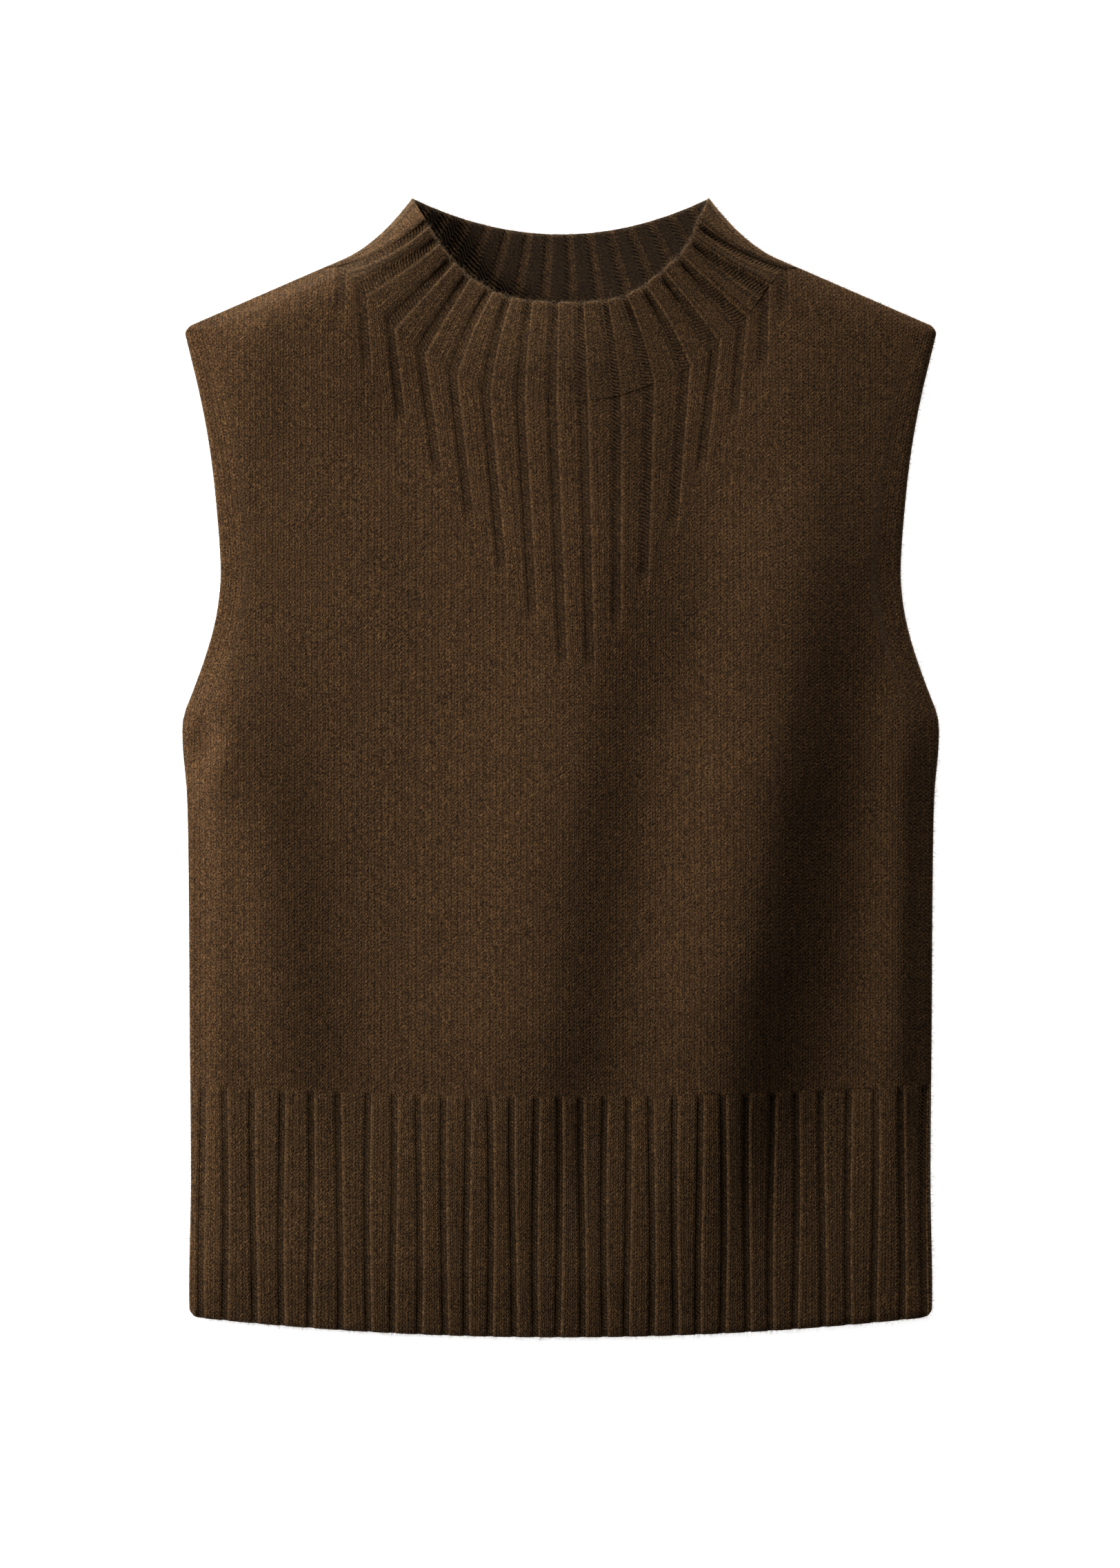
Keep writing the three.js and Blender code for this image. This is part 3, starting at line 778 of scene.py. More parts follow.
@dataclass
class WallPiece:
    """A knitted wall: a grid of points with a face and an underside, closed all round."""

    name: str
    node: str
    slot: Slot
    finish: WoolFinish
    flat: Pair
    area: float
    rests_on: tuple[str, ...]
    outline: Outline = Outline()
    drape: Drape = Drape()
    cloth: Cloth = Cloth()

    def weave(self) -> Weave:
        """The wall's points and stitch counts."""
        raise NotImplementedError

    def loose_edges(self) -> list[Array]:
        """Edges that loose fibres stand off, each with the cloth on its left."""
        return []

    def build(self) -> bpy.types.Object:
        """Returns:
            The finished object.
        """
        weave = self.weave()
        piece = self._mesh(weave)
        piece.data.materials.append(self.finish.material())
        edges = self.loose_edges()
        shown = [piece, *([Fringe().build(f"{self.name}_fibres", edges)] if edges else [])]
        for part in shown:
            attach(part, "root")
            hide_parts(self.node)
        LOG.info("%s: %d points", self.name, len(piece.data.vertices))
        return piece

    def _mesh(self, weave: Weave) -> bpy.types.Object:
        """Lays a grid on the weave's points and closes it into a wall."""
        rows, columns = weave.purl.shape
        grid = bmesh.new()
        bmesh.ops.create_grid(grid, x_segments=columns - 1, y_segments=rows - 1, size=1.0)
        uv = grid.loops.layers.uv.new("stitches")
        purl = grid.verts.layers.float.new("purl")
        row_layer = grid.verts.layers.int.new("row")
        column_layer = grid.verts.layers.int.new("column")
        for vert in grid.verts:
            vert[column_layer] = round((vert.co.x + 1) / 2 * (columns - 1))
            vert[row_layer] = round((vert.co.y + 1) / 2 * (rows - 1))
        top_faces = list(grid.faces)
        made = bmesh.ops.extrude_face_region(grid, geom=top_faces)
        under = {part for part in made["geom"] if isinstance(part, bmesh.types.BMVert)}
        for vert in grid.verts:
            r, c = vert[row_layer], vert[column_layer]
            points = weave.underside if vert in under else weave.face
            vert.co = Vector(points[r, c]) * MM
            # the collar's inside takes values past 1, painted shade that darkens it
            stitches = weave.inner_purl_and_painted_shade if vert in under and weave.inner_purl_and_painted_shade is not None else weave.purl
            vert[purl] = stitches[r, c]
        for edge in grid.edges:
            a, b = edge.verts
            joined = all(weave.seam[vert[row_layer], vert[column_layer]] for vert in edge.verts)
            if joined and (a in under) == (b in under):
                edge.smooth = False
        for face in grid.faces:
            face.smooth = True
            for loop in face.loops:
                r, c = loop.vert[row_layer], loop.vert[column_layer]
                loop[uv].uv = (weave.wales[r, c], weave.courses[r, c])
        if weave.ring:
            rim = [face for face in grid.faces if all(v[column_layer] in (0, columns - 1) for v in face.verts)]
            bmesh.ops.delete(grid, geom=rim, context="FACES")
            bmesh.ops.remove_doubles(grid, verts=grid.verts, dist=1e-6)
        bmesh.ops.recalc_face_normals(grid, faces=grid.faces)
        mesh = bpy.data.meshes.new(self.name)
        grid.to_mesh(mesh)
        grid.free()
        return placed(self.name, mesh)


@dataclass(frozen=True)
class Column:
    """One up-and-down line of a body panel: its top, the height where its rib ends, and its run below."""

    top: Pair
    end: Pair
    below: Callable[[Array], Array]
    sunk: float
    crown: float
    wale: float

    def x_at(self, y: Array) -> Array:
        """Where the column runs at each height."""
        share = (y - self.end[1]) / (self.top[1] - self.end[1])
        return np.where(y < self.end[1], self.below(y), mix(self.end[0], self.top[0], share))


@dataclass
class BodyPanel(WallPiece):
    """A body panel: sides and armholes, shoulders, neckline, and the sunken lines of the yoke."""

    lower_count: int = 62
    upper_count: int = 34
    shoulder_band: float = 34.0
    side_count: int = 24
    decrease_band: Pair = (15.0, 17.0)
    decrease_start: Pair = (20.0, 30.0)
    crown_reach: float = 75.0
    edge_steps: ClassVar[tuple[float, ...]] = (0.0, 0.25, 0.7, 1.3, 2.1, 3.1, 4.5, 6.5)
    end_steps: ClassVar[tuple[float, ...]] = (-2.0, 0.0, 2.0, 4.0, 6.0, 8.5, 11.0)
    line_steps: ClassVar[tuple[float, ...]] = (
        -4.6, -3.8, -3.2, -2.7, -2.2, -1.6, 0.0, 1.6, 2.2, 2.7, 3.2, 3.8, 4.6,
    )

    def neck_height(self, x: float) -> float:
        """Height of this panel's neckline."""
        raise NotImplementedError

    def _side_columns(self, side: int, inner: Column) -> list[Column]:
        """Columns from one side in to the first sunken line."""
        steps = [(inset, 0.0) for inset in self.edge_steps]
        steps += [(self.edge_steps[-1], share) for share in np.linspace(0, 1, self.side_count + 1)[1:-1]]
        columns = []
        for inset, share in steps:
            place = lambda edge, stop, inset=inset, share=share: mix(edge - side * inset, stop, share)
            top_x = float(place(side * self.outline.shoulder_x, inner.top[0]))
            top_y = value_at(self.outline.top_line, top_x)
            below = lambda y, place=place: place(side * self.outline.side_half(y), inner.below(y))
            end_y = top_y - self.shoulder_band
            columns.append(Column((top_x, top_y), (value_at(below, end_y), end_y), below, 0.0, 0.0, math.nan))
        return columns

    def _line_columns(self) -> list[Column]:
        """Columns of the sunken lines and of the ribs between them."""
        columns: list[Column] = []
        cloth, reach = self.cloth, self.line_steps[-1]
        groove, outer = cloth.yoke_groove, cloth.wales_off(reach, cloth.yoke_groove)

        def add(top_x: float, end: Pair, sunk: float, crown: float, wale: float) -> None:
            """Adds one column between the neckline and the hem."""
            top = (top_x, self.neck_height(top_x))
            columns.append(Column(top, end, lambda y: end[0] + 0 * y, sunk, crown, wale))

        for i, line in enumerate(YOKE_LINES):
            neck, wale = line.neck[0], i * cloth.rib_wales
            for offset in self.line_steps:
                end = (line.end[0] + offset, line.end[1])
                across = wale + cloth.wales_off(offset, groove)
                add(neck + offset, end, groove.sunk(offset), groove.lip_at(offset), across)
            for after in YOKE_LINES[i + 1:i + 2]:
                for share, crown in cloth.crests:
                    top_x = mix(neck + reach, after.neck[0] - reach, share)
                    end_x = mix(line.end[0] + reach, after.end[0] - reach, share)
                    end = (end_x, mix(line.end[1], after.end[1], share))
                    add(top_x, end, 0.0, crown, mix(wale + outer, wale + cloth.rib_wales - outer, share))
        return columns

    def _columns(self) -> list[Column]:
        """All columns, left to right."""
        lines = self._line_columns()
        left = self._side_columns(-1, lines[0])
        right = self._side_columns(1, lines[-1])
        return [*left, *lines, *reversed(right)]

    def _grid(self) -> tuple[Array, Array, Array, Array, Array]:
        """Places of all columns, bottom to top: x, y, how far sunk, the rib's crown, and the stitch count."""
        parts = []
        columns = self._columns()
        ribs = [column for column in columns if not math.isnan(column.wale)]
        for column in columns:
            (_, top_y), (_, end_y) = column.top, column.end
            foot = value_at(self.outline.hem_top, value_at(column.below, self.outline.hem_top_side))
            first, last = end_y + self.end_steps[0], end_y + self.end_steps[-1]
            y = np.concatenate([
                np.linspace(foot, first, self.lower_count)[:-1],
                end_y + np.array(self.end_steps),
                np.linspace(last, top_y - self.edge_steps[-1], self.upper_count)[1:-1],
                top_y - np.array(self.edge_steps)[::-1],
            ])
            x = column.x_at(y)
            sunk = column.sunk * ramp(y, first, last)
            crown = column.crown * ramp(y, end_y, end_y + self.crown_reach)
            rib = ribs[0] if x[0] < 0 else ribs[-1]
            upright = math.isnan(column.wale)
            wales = self._side_wales(rib, x, y) if upright else np.full_like(x, column.wale)
            parts.append((x, y, sunk, crown, wales))
        return tuple(np.array(part).T for part in zip(*parts))

    def _side_wales(self, rib: Column, x: Array, y: Array) -> Array:
        """Stitch count outside the ribs: upright, and beside the armhole's edge along it."""
        plain = rib.wale + (x - rib.x_at(y)) / self.cloth.wale
        distance = self.outline.side_half(y) - np.abs(x)
        along = rib.wale + np.sign(x) * (self.outline.shoulder_x - abs(rib.end[0]) - distance) / self.cloth.wale
        beside = (1 - ramp(distance, *self.decrease_band)) * ramp(y, *self.decrease_start)
        return mix(plain, along, beside)

    def _edge(self, x: Array, y: Array) -> Array:
        """Distance from the panel's rounded edges."""
        return self.outline.edge_distance(x, y, 1.0)

    def _seam(self, shape: tuple[int, int]) -> Array:
        """Marks the points on the neckline and on the hem's seam."""
        seam = np.zeros(shape, dtype=bool)
        seam[0] = True
        seam[-1] = [not math.isnan(column.wale) for column in self._columns()]
        return seam


@dataclass
class FrontBody(BodyPanel):
    """The front panel, with the pointed yoke on its upper face."""

    def neck_height(self, x: float) -> float:
        """The front neckline."""
        return self.outline.front_neck(x)

    def weave(self) -> Weave:
        """Face above, following the folds; underside plain."""
        cloth = self.cloth
        x, y, sunk, crown, wales = self._grid()
        base = cloth.front_underside + self.drape.lift(x, y)
        thickness = (cloth.wall - cloth.yoke_groove.depth * sunk) * cloth.share(self._edge(x, y))
        top = base + thickness + cloth.crown * crown + self.drape.unevenness(x, y)
        px, py = self.outline.rounded(x, y)
        seam = self._seam(x.shape)
        under_y = py + cloth.seam_tuck * seam * np.where(y > 0, -1, 1)
        return Weave(stacked(px, py, top), stacked(px, under_y, base), wales, y / cloth.course, sunk**3, seam)

    def loose_edges(self) -> list[Array]:
        """Both sides and shoulders."""
        right = stacked(*self.outline.right_edge(), self.cloth.fold_middle)
        return [right, (right * (-1, 1, 1))[::-1]]


@dataclass
class BackBody(BodyPanel):
    """The back panel: level on top, and on its underside the same yoke, pressed up from the surface."""

    def neck_height(self, x: float) -> float:
        """The back neckline's curve."""
        return value_at(self.outline.back_neck, x)

    def weave(self) -> Weave:
        """Upper face plain; the outside, below, rises from the surface in the sunken lines and at the edges."""
        cloth = self.cloth
        x, y, sunk, _, wales = self._grid()
        up = cloth.pressed(sunk, cloth.share(self._edge(x, y)))
        px, py = self.outline.rounded(x, y)
        seam = self._seam(x.shape)
        return Weave(stacked(px, py, cloth.wall), stacked(px, py, up), wales, y / cloth.course, sunk**3, seam)


@dataclass(frozen=True)
class RibRun:
    """A run of equally spaced hem ribs."""

    count: int
    pitch: float


@dataclass(frozen=True)
class BandColumn:
    """One up-and-down line of a hem band: its path, how far sunk, its crown and its stitch count."""

    path: Callable[[Array], Array]
    sunk: float
    crown: float
    wale: float


@dataclass
class HemBand(WallPiece):
    """The ribbed band of one hem."""

    below: bool = False
    first: float = -207.6
    waver: float = 0.7
    waver_length: float = 38.0
    waver_step: float = 1.9
    scallop: float = 0.3
    start_fade: float = 1.5
    row_count: int = 44
    edge_columns: int = 4
    runs: ClassVar[tuple[RibRun, ...]] = (
        RibRun(1, 13.2),
        RibRun(5, 16.6),
        RibRun(3, 14.7),
        RibRun(8, 13.25),
        RibRun(5, 13.8),
        RibRun(2, 14.2),
        RibRun(4, 15.3),
        RibRun(1, 13.2),
    )
    edge_steps: ClassVar[tuple[float, ...]] = (0.0, 0.25, 0.7, 1.3, 2.1, 3.1, 4.5)
    line_steps: ClassVar[tuple[float, ...]] = (
        -3.5, -2.8, -2.3, -1.9, -1.5, -1.0, 0.0, 1.0, 1.5, 1.9, 2.3, 2.8, 3.5,
    )

    def _lines(self) -> list[float]:
        """Middles of the sunken lines, left to right."""
        middles = [self.first]
        for run in self.runs:
            middles += [middles[-1] + run.pitch * (i + 1) for i in range(run.count)]
        return middles

    def _wander(self, i: int, y: Array) -> Array:
        """How far a sunken line sways from its middle at each height."""
        return self.waver * np.sin(y / self.waver_length + i * self.waver_step)

    def _edge_column(self, side: int, inset: float, wale: float) -> BandColumn:
        """A column that runs along one side of the band."""
        path = lambda y: side * (self.outline.side_half(y) - inset)
        return BandColumn(path, 0.0, 0.0, wale - side * inset / self.cloth.wale)

    def _columns(self) -> list[BandColumn]:
        """All columns, left to right."""
        cloth, lines = self.cloth, self._lines()
        groove, per_rib, reach = cloth.hem_groove, cloth.rib_wales, self.line_steps[-1]
        outer = cloth.wales_off(reach, groove)
        insets = self.edge_steps[:self.edge_columns]
        columns = [self._edge_column(-1, inset, -per_rib / 2) for inset in insets]
        for i, middle in enumerate(lines):
            for offset in self.line_steps:
                path = lambda y, i=i, at=middle + offset: at + self._wander(i, y)
                wale = i * per_rib + cloth.wales_off(offset, groove)
                columns.append(BandColumn(path, groove.sunk(offset), groove.lip_at(offset), wale))
            for share, crown in cloth.crests if i + 1 < len(lines) else ():
                at = mix(middle + reach, lines[i + 1] - reach, share)
                path = lambda y, i=i, at=at, share=share: at + mix(
                    self._wander(i, y), self._wander(i + 1, y), share
                )
                wale = mix(i * per_rib + outer, (i + 1) * per_rib - outer, share)
                columns.append(BandColumn(path, 0.0, crown, wale))
        last = (len(lines) - 0.5) * per_rib
        return columns + [self._edge_column(1, inset, last) for inset in reversed(insets)]

    def loose_edges(self) -> list[Array]:
        """The front band's sides and lower edge."""
        return [] if self.below else [stacked(*self.outline.lower_edge(), self.cloth.fold_middle)]

    def weave(self) -> Weave:
        """The band's walls: for the front its face is above, for the back its outside is below."""
        cloth, outline = self.cloth, self.outline
        columns = self._columns()
        xs, ys = [], []
        for column in columns:
            foot = value_at(outline.hem_bottom, value_at(column.path, -outline.half_length))
            foot += self.scallop * column.sunk
            top = value_at(outline.hem_top, value_at(column.path, outline.hem_top_side))
            y = np.concatenate([
                foot + np.array(self.edge_steps),
                np.linspace(foot + self.edge_steps[-1], top, self.row_count)[1:],
            ])
            xs.append(column.path(y))
            ys.append(y)
        x, y = np.array(xs).T, np.array(ys).T
        rows = x.shape[0]
        start = 1 - ramp(y, outline.hem_top(x) - self.start_fade, outline.hem_top(x))
        sunk = np.tile([column.sunk for column in columns], (rows, 1)) * start
        crown = np.tile([column.crown for column in columns], (rows, 1)) * start
        edge = np.minimum(outline.side_half(y) - np.abs(x), y - outline.hem_bottom(x))
        share = cloth.share(np.maximum(edge, 0))
        if self.below:
            face, underside = cloth.wall, cloth.pressed(sunk, share)
        else:
            underside = cloth.front_underside + self.drape.lift(x, y)
            thickness = cloth.wall - cloth.hem_groove.depth * sunk + cloth.crown * crown
            face = underside + thickness * share
        seam = np.zeros(x.shape, dtype=bool)
        seam[-1] = True
        px, py = outline.rounded(x, y)
        return Weave(
            stacked(px, py, face),
            stacked(px, py - cloth.seam_tuck * seam, underside),
            np.tile([column.wale for column in columns], (rows, 1)),
            y / cloth.course,
            sunk**3,
            seam,
        )


@dataclass(frozen=True)
class TubeLine:
    """One line of the collar from neckline to rim: its run, how far sunk, its crown and its stitch count."""

    run: Place
    sunk: float
    crown: float
    wale: float


@dataclass
class Collar(WallPiece):
    """The ribbed funnel collar: one tube, flattened, with a fold at each side."""

    rim_rise: float = 1.0
    # painted shade on the collar's inside, standing in for the shadow of the front rim and the funnel;
    # inner_groove keeps its ribs lighter
    inner_painted_shade: float = 2.35
    inner_groove: float = 1.35
    rim_thinning: float = 1.0
    rim_notch: float = 0.8
    rim_deepening: float = 0.9
    deepening_start: float = 0.5
    knit_height: float = 60.0
    back_sag: float = 5.3
    back_first: float = -77.0
    back_pitch: float = 11.7
    back_count: int = 14
    row_count: int = 26
    fold_inner: float = 2.6
    fold_wales: float = 2.0
    side_points: int = 40
    back_points: int = 80
    rim_rows: ClassVar[tuple[float, ...]] = (0.955, 0.975, 0.988, 0.996, 1.0)
    fold_steps: ClassVar[tuple[float, ...]] = (0.25, 0.7, 1.3, 2.1, 3.0)
    fold_inner_steps: ClassVar[tuple[float, ...]] = (2.7, 2.8, 2.9, 3.0, 3.15)
    line_shares: ClassVar[tuple[float, ...]] = (
        -1.28, -1.0, -0.84, -0.68, -0.52, 0.0, 0.52, 0.68, 0.84, 1.0, 1.28,
    )

    def _run(self, foot: Array, rim: Array, sag: float, v: Array) -> Place:
        """A rib's run from the neckline to the rim, bowed sideways by sag."""
        along = rim - foot
        aside = np.array([along[1], -along[0]]) / float(np.hypot(*along))
        bow = 4 * sag * v * (1 - v)
        return foot[0] + along[0] * v + aside[0] * bow, foot[1] + along[1] * v + aside[1] * bow

    def _line_wale(self, rib: int, share: float) -> float:
        """Stitch count at a share of a sunken line's half width."""
        return rib * self.cloth.rib_wales + max(-1.0, min(1.0, share)) * self.cloth.groove_wales / 2

    def _front_lines(self, v: Array) -> list[TubeLine]:
        """Front lines, left to right, carried on from the yoke's."""
        columns: list[TubeLine] = []
        yoke, rim_mouth, reach = self.cloth.yoke_groove, self.cloth.rim_groove.mouth, self.line_shares[-1]

        def add(foot_x: float, rim: Array, sag: float, sunk: float, crown: float, wale: float) -> None:
            """Adds one line."""
            foot = np.array([foot_x, self.outline.front_neck(foot_x)])
            columns.append(TubeLine(self._run(foot, rim, sag, v), sunk, crown, wale))

        for i, line in enumerate(YOKE_LINES):
            before, after = YOKE_LINES[max(i - 1, 0)], YOKE_LINES[min(i + 1, len(YOKE_LINES) - 1)]
            way = np.array(after.rim) - np.array(before.rim)
            way = way / np.hypot(*way)
            for share in self.line_shares:
                offset = share * yoke.mouth
                sunk = yoke.sunk(offset)
                notch = np.array([way[1], -way[0]]) * self.rim_notch * sunk
                rim = np.array(line.rim) + way * share * rim_mouth + notch
                wale = self._line_wale(i, share)
                add(line.neck[0] + offset, rim, line.sag, sunk, yoke.lip_at(offset), wale)
            for share, crown in self.cloth.crests if after is not line else ():
                foot_x = mix(line.neck[0] + reach * yoke.mouth, after.neck[0] - reach * yoke.mouth, share)
                inset = mix(reach, -reach, share) * rim_mouth
                rim = mix(np.array(line.rim), np.array(after.rim), share) + way * inset
                wale = (i + 0.25 + 0.5 * share) * self.cloth.rib_wales
                add(foot_x, rim, mix(line.sag, after.sag, share), 0.0, crown, wale)
        return columns

    def _back_lines(self, v: Array) -> list[TubeLine]:
        """Back lines, left to right."""
        columns = []
        groove, outline = self.cloth.back_groove, self.outline
        for i in range(self.back_count):
            steps = [
                (share * groove.mouth, groove.sunk(share * groove.mouth), self._line_wale(i, share))
                for share in self.line_shares
            ]
            if i + 1 < self.back_count:
                steps.append((self.back_pitch / 2, 0.0, (i + 0.5) * self.cloth.rib_wales))
            for offset, sunk, wale in steps:
                rim_x = self.back_first + i * self.back_pitch + offset
                foot_x = rim_x * outline.neck_x / outline.tip_x
                foot = np.array([foot_x, value_at(outline.back_neck, foot_x)])
                rim = np.array([rim_x, value_at(outline.back_rim, rim_x)])
                sag = -np.sign(rim_x) * self.back_sag * abs(rim_x / outline.tip_x) ** 3
                columns.append(TubeLine(self._run(foot, rim, sag, v), sunk, 0.0, wale))
        return columns

    def loose_edges(self) -> list[Array]:
        """The folded sides, the back of the rim between them, and the front of the rim."""
        cloth, outline = self.cloth, self.outline
        side_x = np.linspace(outline.neck_x, outline.tip_x, self.side_points)
        right = stacked(side_x, outline.top_line(side_x), cloth.fold_middle)
        back_x = np.linspace(outline.tip_x, -outline.tip_x, self.back_points)
        back = stacked(back_x, outline.back_rim(back_x), cloth.wall / 2)
        tips = [(outline.tip_x, outline.half_length), *(line.rim for line in reversed(YOKE_LINES))]
        x, y = np.array(tips).T
        middle = self._under_front(x, y, np.ones_like(x)) + cloth.wall / 2
        return [right, back, (right * (-1, 1, 1))[::-1], stacked(x, y, middle)]

    def _under_front(self, x: Array, y: Array, v: Array) -> Array:
        """Height of the front half's inside."""
        distance = self.outline.edge_distance(x, y, self.drape.steepness)
        rise = self.rim_rise * v**2 * ramp(distance, 0, self.drape.reach)
        return self.cloth.front_underside + self.drape.lift(x, y) + rise

    def _fold(self, side: int, ends: tuple[TubeLine, TubeLine], v: Array, thinning: Array) -> list[TubeColumn]:
        """Columns that turn round one fold.

        Args:
            side: -1 for the left fold, 1 for the right one.
            ends: The front's and the back's line next to the fold.
            v: Shares of the way from the neckline to the rim.
            thinning: What each row is thinned by on either face.

        Returns:
            The columns, from the back to the front at the left fold and the other way at the right one.
        """
        cloth, outline = self.cloth, self.outline
        out_x = mix(outline.neck_x, outline.tip_x, v)
        edge = np.stack([side * out_x, outline.top_line(out_x)], axis=-1)
        front, back = (unit(np.stack(line.run, axis=-1) - edge) for line in ends)
        ways = {1: back, 0: unit(front + back), -1: front}
        steps = list(zip(self.fold_steps, self.fold_inner_steps))
        turns = [(1, *step) for step in reversed(steps)]
        turns += [(0, 0.0, self.fold_inner), *((-1, *step) for step in steps)]
        columns = []
        for half, step, inner_step in turns:
            place, inner = edge + ways[half] * step, edge + ways[half] * inner_step
            if half < 0:
                z = self._under_front(*place.T, v) + cloth.wall - thinning
                inner_z = self._under_front(*inner.T, v) + thinning
            elif half > 0:
                z, inner_z = thinning, cloth.wall - thinning
            else:
                z = inner_z = cloth.fold_middle
            curl = math.sqrt(1 - (1 - step / self.fold_steps[-1]) ** 2)
            outside = stacked(*place.T, mix(cloth.fold_middle, z, curl))
            wale = ends[0].wale + side * (self.fold_wales + half * step / cloth.wale)
            columns.append((outside, stacked(*inner.T, inner_z), wale, 0.0))
        return columns if side < 0 else columns[::-1]

    def weave(self) -> Weave:
        """The tube's outside and inside, from the left fold round the front and back to it."""
        cloth = self.cloth
        v = np.concatenate([np.linspace(0, self.rim_rows[0], self.row_count)[:-1], self.rim_rows])
        inward = 1 - np.clip((1 - v) / (1 - self.rim_rows[0]), 0, 1)
        thinning = self.rim_thinning * (1 - np.sqrt(1 - inward**2))
        depth = cloth.rim_groove.depth * (1 + self.rim_deepening * ramp(v, self.deepening_start, 1.0))
        front, back = self._front_lines(v), self._back_lines(v)
        tube = self._fold(-1, (front[0], back[0]), v, thinning)
        for line in front:
            x, y = line.run
            under = self._under_front(x, y, v)
            face = under + cloth.wall - depth * line.sunk + cloth.crown * line.crown - thinning
            inner_y = y + cloth.seam_tuck * (v == 0)
            tube.append((stacked(x, y, face), stacked(x, inner_y, under + thinning), line.wale, line.sunk))
        tube += self._fold(1, (front[-1], back[-1]), v, thinning)
        for line in reversed(back):
            face = cloth.wall - cloth.back_groove.depth * line.sunk - thinning
            tube.append((stacked(*line.run, thinning), stacked(*line.run, face), line.wale, line.sunk))
        outside, inside, wales, sinks = zip(*tube, tube[0])
        face, underside = (np.array(part).transpose(1, 0, 2) for part in (outside, inside))
        rows, columns = face.shape[:2]
        seam = np.zeros((rows, columns), dtype=bool)
        seam[0] = True
        purl = np.tile(sinks, (rows, 1)) ** 3
        courses = np.tile(v[:, None] * self.knit_height / cloth.course, (1, columns))
        # painted shade on the inside: purl values past 1 darken it, less along its ribs
        inner = self.inner_painted_shade - self.inner_groove * purl
        return Weave(face, underside, np.tile(wales, (rows, 1)), courses, purl, seam, True, inner)


@dataclass(frozen=True)
class AreaLamp:
    """A soft rectangular lamp that faces a point of the table."""

    name: str
    place: Triple
    aim: Triple
    size: Pair
    power: float
    colour: Triple = (1.0, 1.0, 1.0)

    def build(self) -> None:
        """Makes the lamp."""
        data = bpy.data.lights.new(self.name, "AREA")
        data.shape = "RECTANGLE"
        data.size, data.size_y = self.size
        data.energy = self.power
        data.color = self.colour
        lamp = placed(self.name, data)
        lamp.location = self.place
        lamp.rotation_euler = (Vector(self.aim) - Vector(self.place)).to_track_quat("-Z", "Y").to_euler()


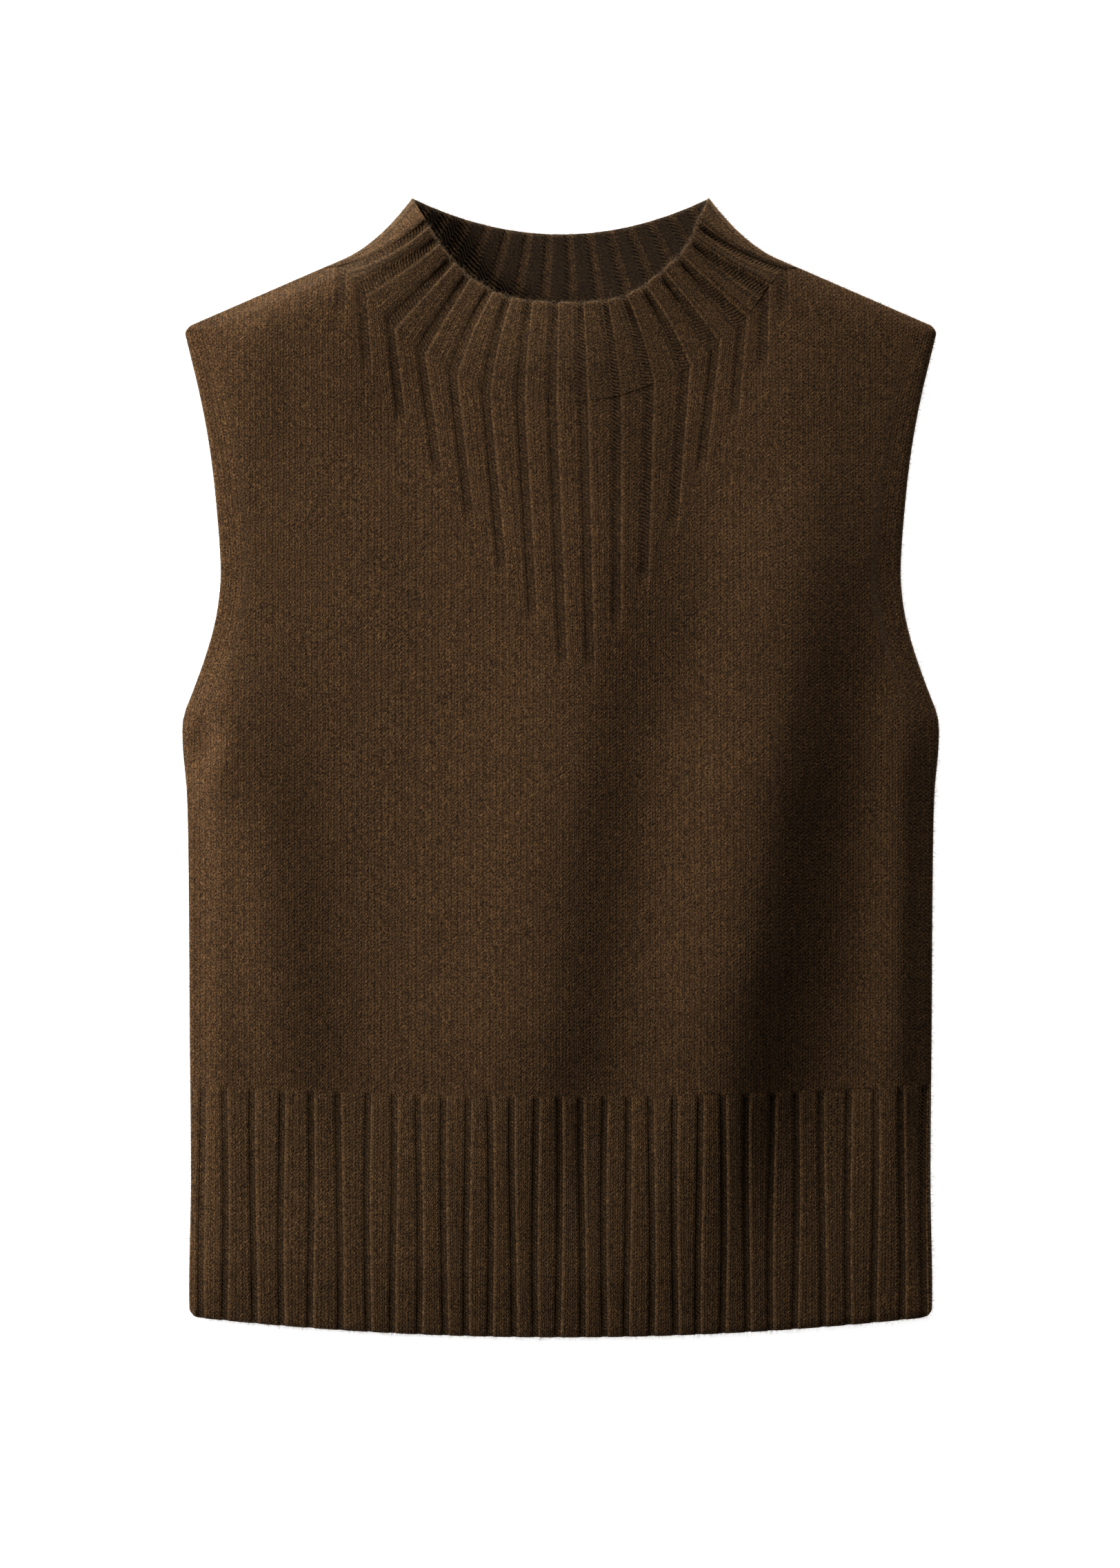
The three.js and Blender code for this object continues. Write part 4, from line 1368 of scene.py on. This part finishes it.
@dataclass
class Studio:
    """The pale floor, the lamps and the camera straight above, as in the photo."""

    camera_height: float = 3.0
    camera_reach: float = 200.0
    floor_half: float = 60.0
    floor_drop: float = 0.0002
    floor_tone: float = 0.88
    floor_roughness: float = 0.9
    floor_glow: float = 0.95
    sky: float = 0.015
    lamps: tuple[AreaLamp, ...] = field(default_factory=lambda: (
        AreaLamp("key", (-1.28, 0.27, 0.46), (0.05, -0.05, 0.0), (0.6, 0.5), 42.5, (1.0, 0.985, 0.97)),
        AreaLamp("top", (0.3, 1.5, 0.14), (0.0, 0.2, 0.0), (0.9, 0.2), 34.0, (1.0, 0.96, 0.9)),
    ))

    def build(self) -> None:
        """Makes the floor, the light and the camera."""
        self._floor()
        for lamp in self.lamps:
            lamp.build()
        world = bpy.data.worlds.new("room")
        world.use_nodes = True
        air = world.node_tree.nodes["Background"]
        air.inputs["Strength"].default_value = self.sky
        air.inputs["Color"].default_value = WHITE
        bpy.context.scene.world = world
        bpy.context.scene.view_settings.view_transform = "Standard"
        self._camera()

    def _floor(self) -> None:
        """A wide pale sheet just under the vest."""
        grid = bmesh.new()
        bmesh.ops.create_grid(grid, x_segments=1, y_segments=1, size=self.floor_half)
        bmesh.ops.translate(grid, verts=grid.verts, vec=(0.0, 0.0, -self.floor_drop))
        mesh = bpy.data.meshes.new("floor")
        grid.to_mesh(mesh)
        grid.free()
        sheet = ShaderSheet("pale_floor")
        sheet.feed(sheet.shader, {
            "Base Color": (self.floor_tone, self.floor_tone, self.floor_tone, 1.0),
            "Roughness": self.floor_roughness,
            "Emission Color": WHITE,
            "Emission Strength": self.floor_glow,
        })
        mesh.materials.append(sheet.material)
        placed("floor", mesh)

    def _camera(self) -> None:
        """Looks straight down, framed as the photo is."""
        data = bpy.data.cameras.new("camera")
        frame_height = PHOTO_HEIGHT * PHOTO_PIXEL * MM
        data.lens = data.sensor_width * self.camera_height / frame_height
        data.clip_end = self.camera_reach
        camera = placed("camera", data)
        x = (PHOTO_WIDTH / 2 - PHOTO_MIDDLE[0]) * PHOTO_PIXEL * MM
        y = (PHOTO_MIDDLE[1] - PHOTO_HEIGHT / 2) * PHOTO_PIXEL * MM
        camera.location = (x, y, self.camera_height)
        bpy.context.scene.camera = camera


def main() -> None:
    """Loads the frame, builds every piece in order, hiding the frame's parts they replace, and sets up the
    studio.
    """
    logging.basicConfig(level=logging.INFO, format="%(message)s")
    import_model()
    # One yarn in three copies: the hem bands' copy is painted about 9% lighter than the panels' and the
    # collar's, standing in for light that falls more brightly on the hem
    plain = WoolFinish("plain_knit_wool", (0.0682, 0.0303, 0.0099), (0.0734, 0.0376, 0.0145))
    ribbed = WoolFinish("ribbed_knit_wool", (0.0742, 0.0341, 0.0113), (0.0797, 0.042, 0.0163))
    neck = WoolFinish("collar_knit_wool", (0.0683, 0.0314, 0.0104), (0.0733, 0.0386, 0.015))
    hem_flat, hem_area = (0.430, 0.147), 0.0604
    pieces: list[WallPiece] = [
        BackBody("back_panel", "back_body", Slot.KNIT, plain, (0.438, 0.479), 0.186, ("floor",)),
        HemBand("back_hem_band", "back_hem_rib", Slot.RIB, ribbed, hem_flat, hem_area, ("floor",), below=True),
        FrontBody("front_panel", "front_body", Slot.KNIT, plain, (0.438, 0.479), 0.178, ("back_panel",)),
        HemBand("front_hem_band", "front_hem_rib", Slot.RIB, ribbed, hem_flat, hem_area, ("back_hem_band",)),
        Collar("collar_rib", "collar", Slot.COLLAR, neck, (0.640, 0.062), 0.0315, ("floor", "back_panel")),
    ]
    for piece in pieces:
        piece.build()
    Studio().build()


if __name__ == "__main__":
    main()
